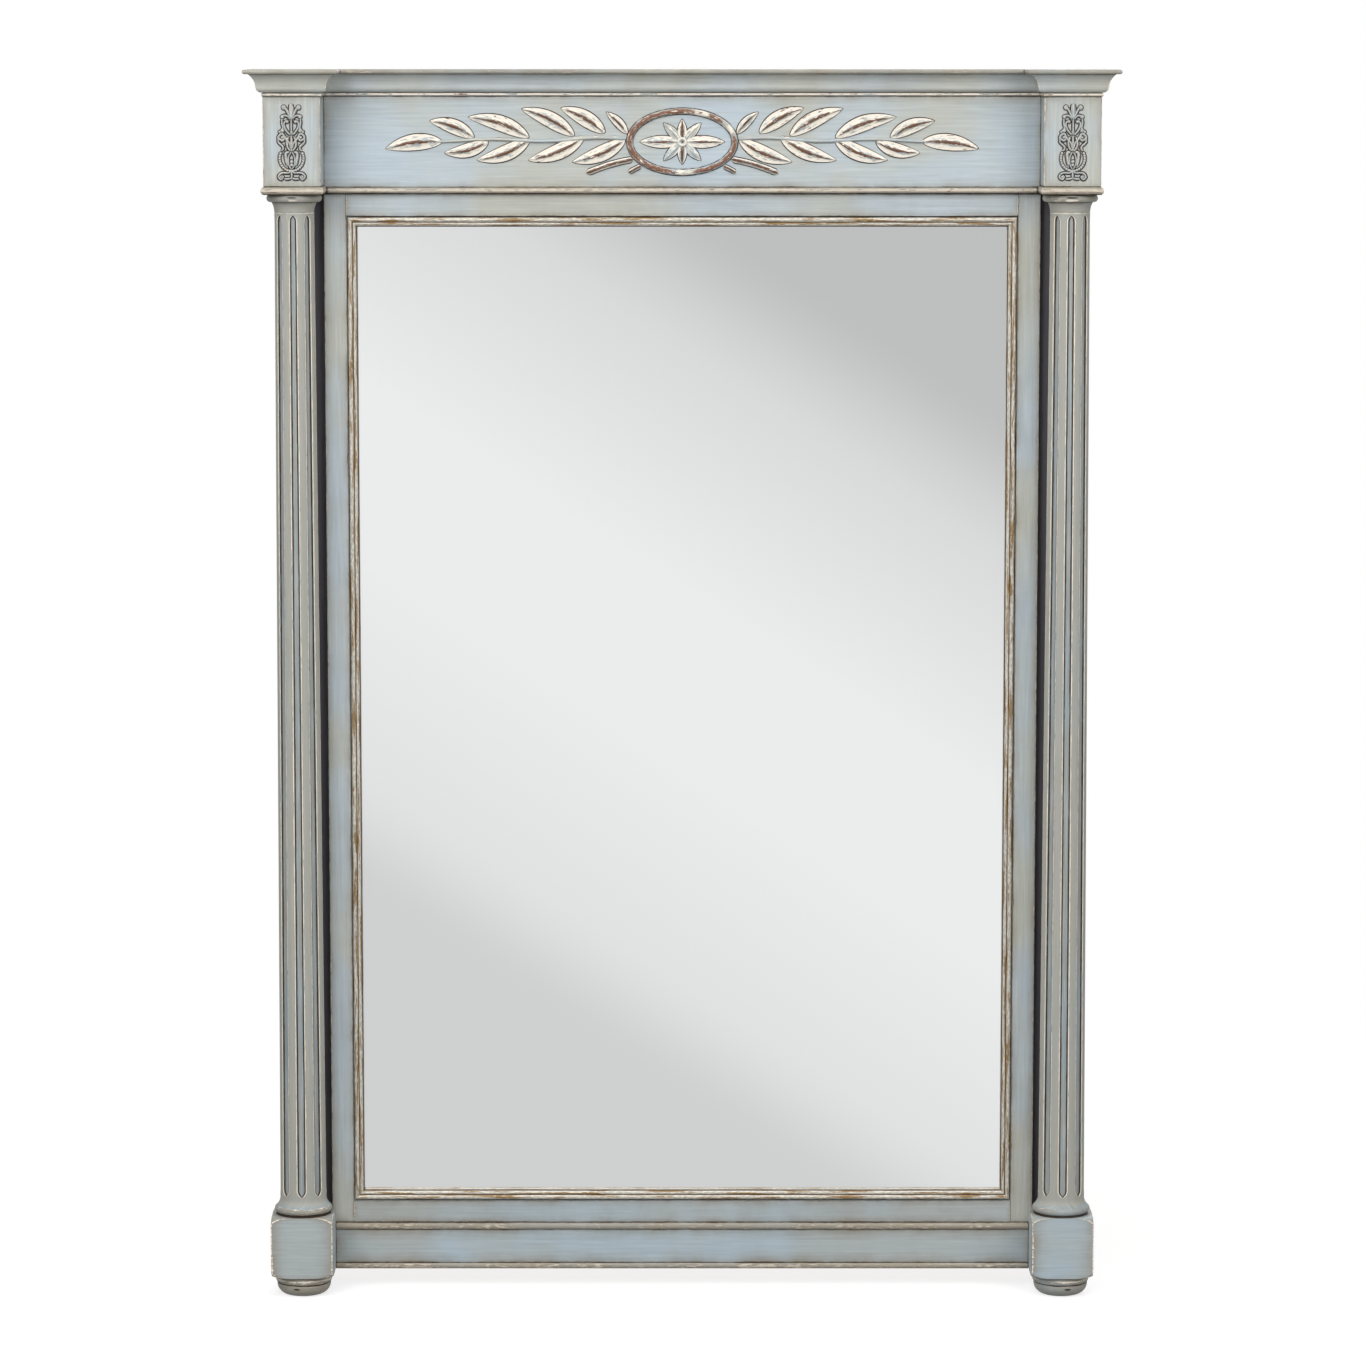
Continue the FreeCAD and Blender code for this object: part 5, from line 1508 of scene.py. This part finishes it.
@dataclass(frozen=True)
class BandedCard(Surface):
    """Grey card with one pale band, square to the direction across.

    The band falls off slowly first, then fast, towards the upper right and the lower left.
    """

    across: tuple[float, float, float] = (0.5476, 0.0, 0.8368)
    band: str = "#F3F3F3"

    def draw(self, g: Graph) -> None:
        """Lays four greys over the band, by the distance across it in metres."""
        slant = g.add("VectorMath", {0: g.place(), 1: self.across}, output="Value", operation="DOT_PRODUCT")
        tone = g.blend(g.even(slant, -0.42, 0.45), self.band, "#DEDEDE")
        tone = g.blend(g.ramp(slant, 0.35, 0.85), tone, "#C4C4C4")
        tone = g.blend(g.even(slant, -0.95, -1.75), tone, "#E7E7E7")
        tone = g.blend(g.ramp(slant, -1.68, -2.06), tone, "#D6D6D6")
        g.add("OutputMaterial", {"Surface": g.add("Emission", {"Color": tone, "Strength": 1.0})})


@dataclass
class Studio:
    """Pale floor, soft lamps and the camera at the photograph's angle, in metres and watts."""

    camera_at: tuple[float, float, float] = (0.001, -6.47675, 1.602)
    pitch: float = 82.853
    lens: float = 135.5
    floor_half: float = 30.0
    card_half: float = 40.0
    card_y: float = -13.0
    aim_height: float = 0.8
    lamps: tuple[tuple[str, tuple[float, float, float], float, float], ...] = (
        ("key_lamp", (-2.4, -3.9, 3.7), 3.0, 178.0), ("fill_lamp", (2.8, -3.8, 3.2), 3.0, 122.0),
        ("back_lamp", (1.2, 4.6, 3.0), 3.0, 120.0), ("top_lamp", (0.0, -1.4, 4.2), 2.4, 42.0))

    def build(self) -> None:
        """Sets up the world, the floor, the card that the glass mirrors, the lamps and the camera."""
        self.world()
        self.floor()
        self.card()
        for lamp in self.lamps:
            self.lamp(*lamp)
        self.camera()

    def camera(self) -> None:
        """The camera, with its colours left as they are."""
        data = bpy.data.cameras.new("camera")
        data.lens, data.sensor_width = self.lens, 36.0
        data.clip_end = 60.0
        camera = bpy.data.objects.new("camera", data)
        camera.location = self.camera_at
        camera.rotation_euler = (math.radians(self.pitch), 0.0, 0.0)
        bpy.context.scene.collection.objects.link(camera)
        bpy.context.scene.camera = camera
        bpy.context.scene.view_settings.view_transform = "Standard"

    def world(self) -> None:
        """Plain light grey all round, white where the camera looks straight at it."""
        world = bpy.data.worlds.new("studio")
        bpy.context.scene.world = world
        world.use_nodes = True
        g = Graph(world.node_tree)
        soft, bright, grey = (g.add("Background", {"Color": linear(colour), "Strength": strength})
                              for colour, strength in (("#E8EAEC", 0.36), ("#FFFFFF", 1.0), ("#DCDDDD", 1.0)))
        seen, mirrored = (g.add("LightPath", output=f"Is {ray} Ray") for ray in ("Camera", "Glossy"))
        mixed = g.add("MixShader", {0: mirrored, 1: soft, 2: grey})
        g.add("OutputWorld", {"Surface": g.add("MixShader", {0: seen, 1: mixed, 2: bright})})

    def sheet(self, name: str, corners: Sequence[tuple[float, float, float]],
              finish: Surface) -> bpy.types.Object:
        """One flat square.

        Args:
            name: Name of the object.
            corners: Its four corners in turn.
            finish: What it is finished with.

        Returns:
            The object.
        """
        mesh = bpy.data.meshes.new(name)
        mesh.from_pydata(corners, [], [(0, 1, 2, 3)])
        mesh.materials.append(finish.made())
        made = bpy.data.objects.new(name, mesh)
        bpy.context.scene.collection.objects.link(made)
        return made

    def floor(self) -> None:
        """A wide pale floor, which the mirror's glass doesn't show."""
        wide = self.floor_half
        corners = [(-wide, -wide, 0), (wide, -wide, 0), (wide, wide, 0), (-wide, wide, 0)]
        floor = self.sheet("floor", corners, FloorPaper("floor_paper"))
        floor.visible_glossy = False

    def card(self) -> None:
        """A big card behind the camera, which only the glass shows."""
        wide, y = self.card_half, self.card_y
        corners = [(-wide, y, -wide), (wide, y, -wide), (wide, y, wide), (-wide, y, wide)]
        card = self.sheet("reflector_card", corners, BandedCard("reflector_card"))
        card.visible_camera = False
        card.visible_diffuse = False
        card.visible_shadow = False

    def lamp(self, name: str, place: tuple[float, float, float], size: float, watts: float) -> None:
        """A square soft lamp aimed at the middle of the mirror.

        Args:
            name: Name of the lamp.
            place: Where it hangs.
            size: Its side.
            watts: Its power.
        """
        data = bpy.data.lights.new(name, "AREA")
        data.size, data.energy = size, watts
        lamp = bpy.data.objects.new(name, data)
        lamp.location = place
        x, y, z = np.array([0.0, 0.0, self.aim_height]) - np.array(place)
        lamp.rotation_euler = (math.atan2(math.hypot(x, y), -z), 0.0, math.atan2(y, x) - math.pi / 2)
        bpy.context.scene.collection.objects.link(lamp)


def main() -> None:
    """Builds the sub-assemblies in order."""
    logging.basicConfig(level=logging.INFO, format="%(message)s")
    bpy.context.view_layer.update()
    for part in (Back(), Facing(), Columns(), Entablature(), Carving(), Studio()):
        log.info("building %s", type(part).__name__)
        part.build()


if __name__ == "__main__":
    main()
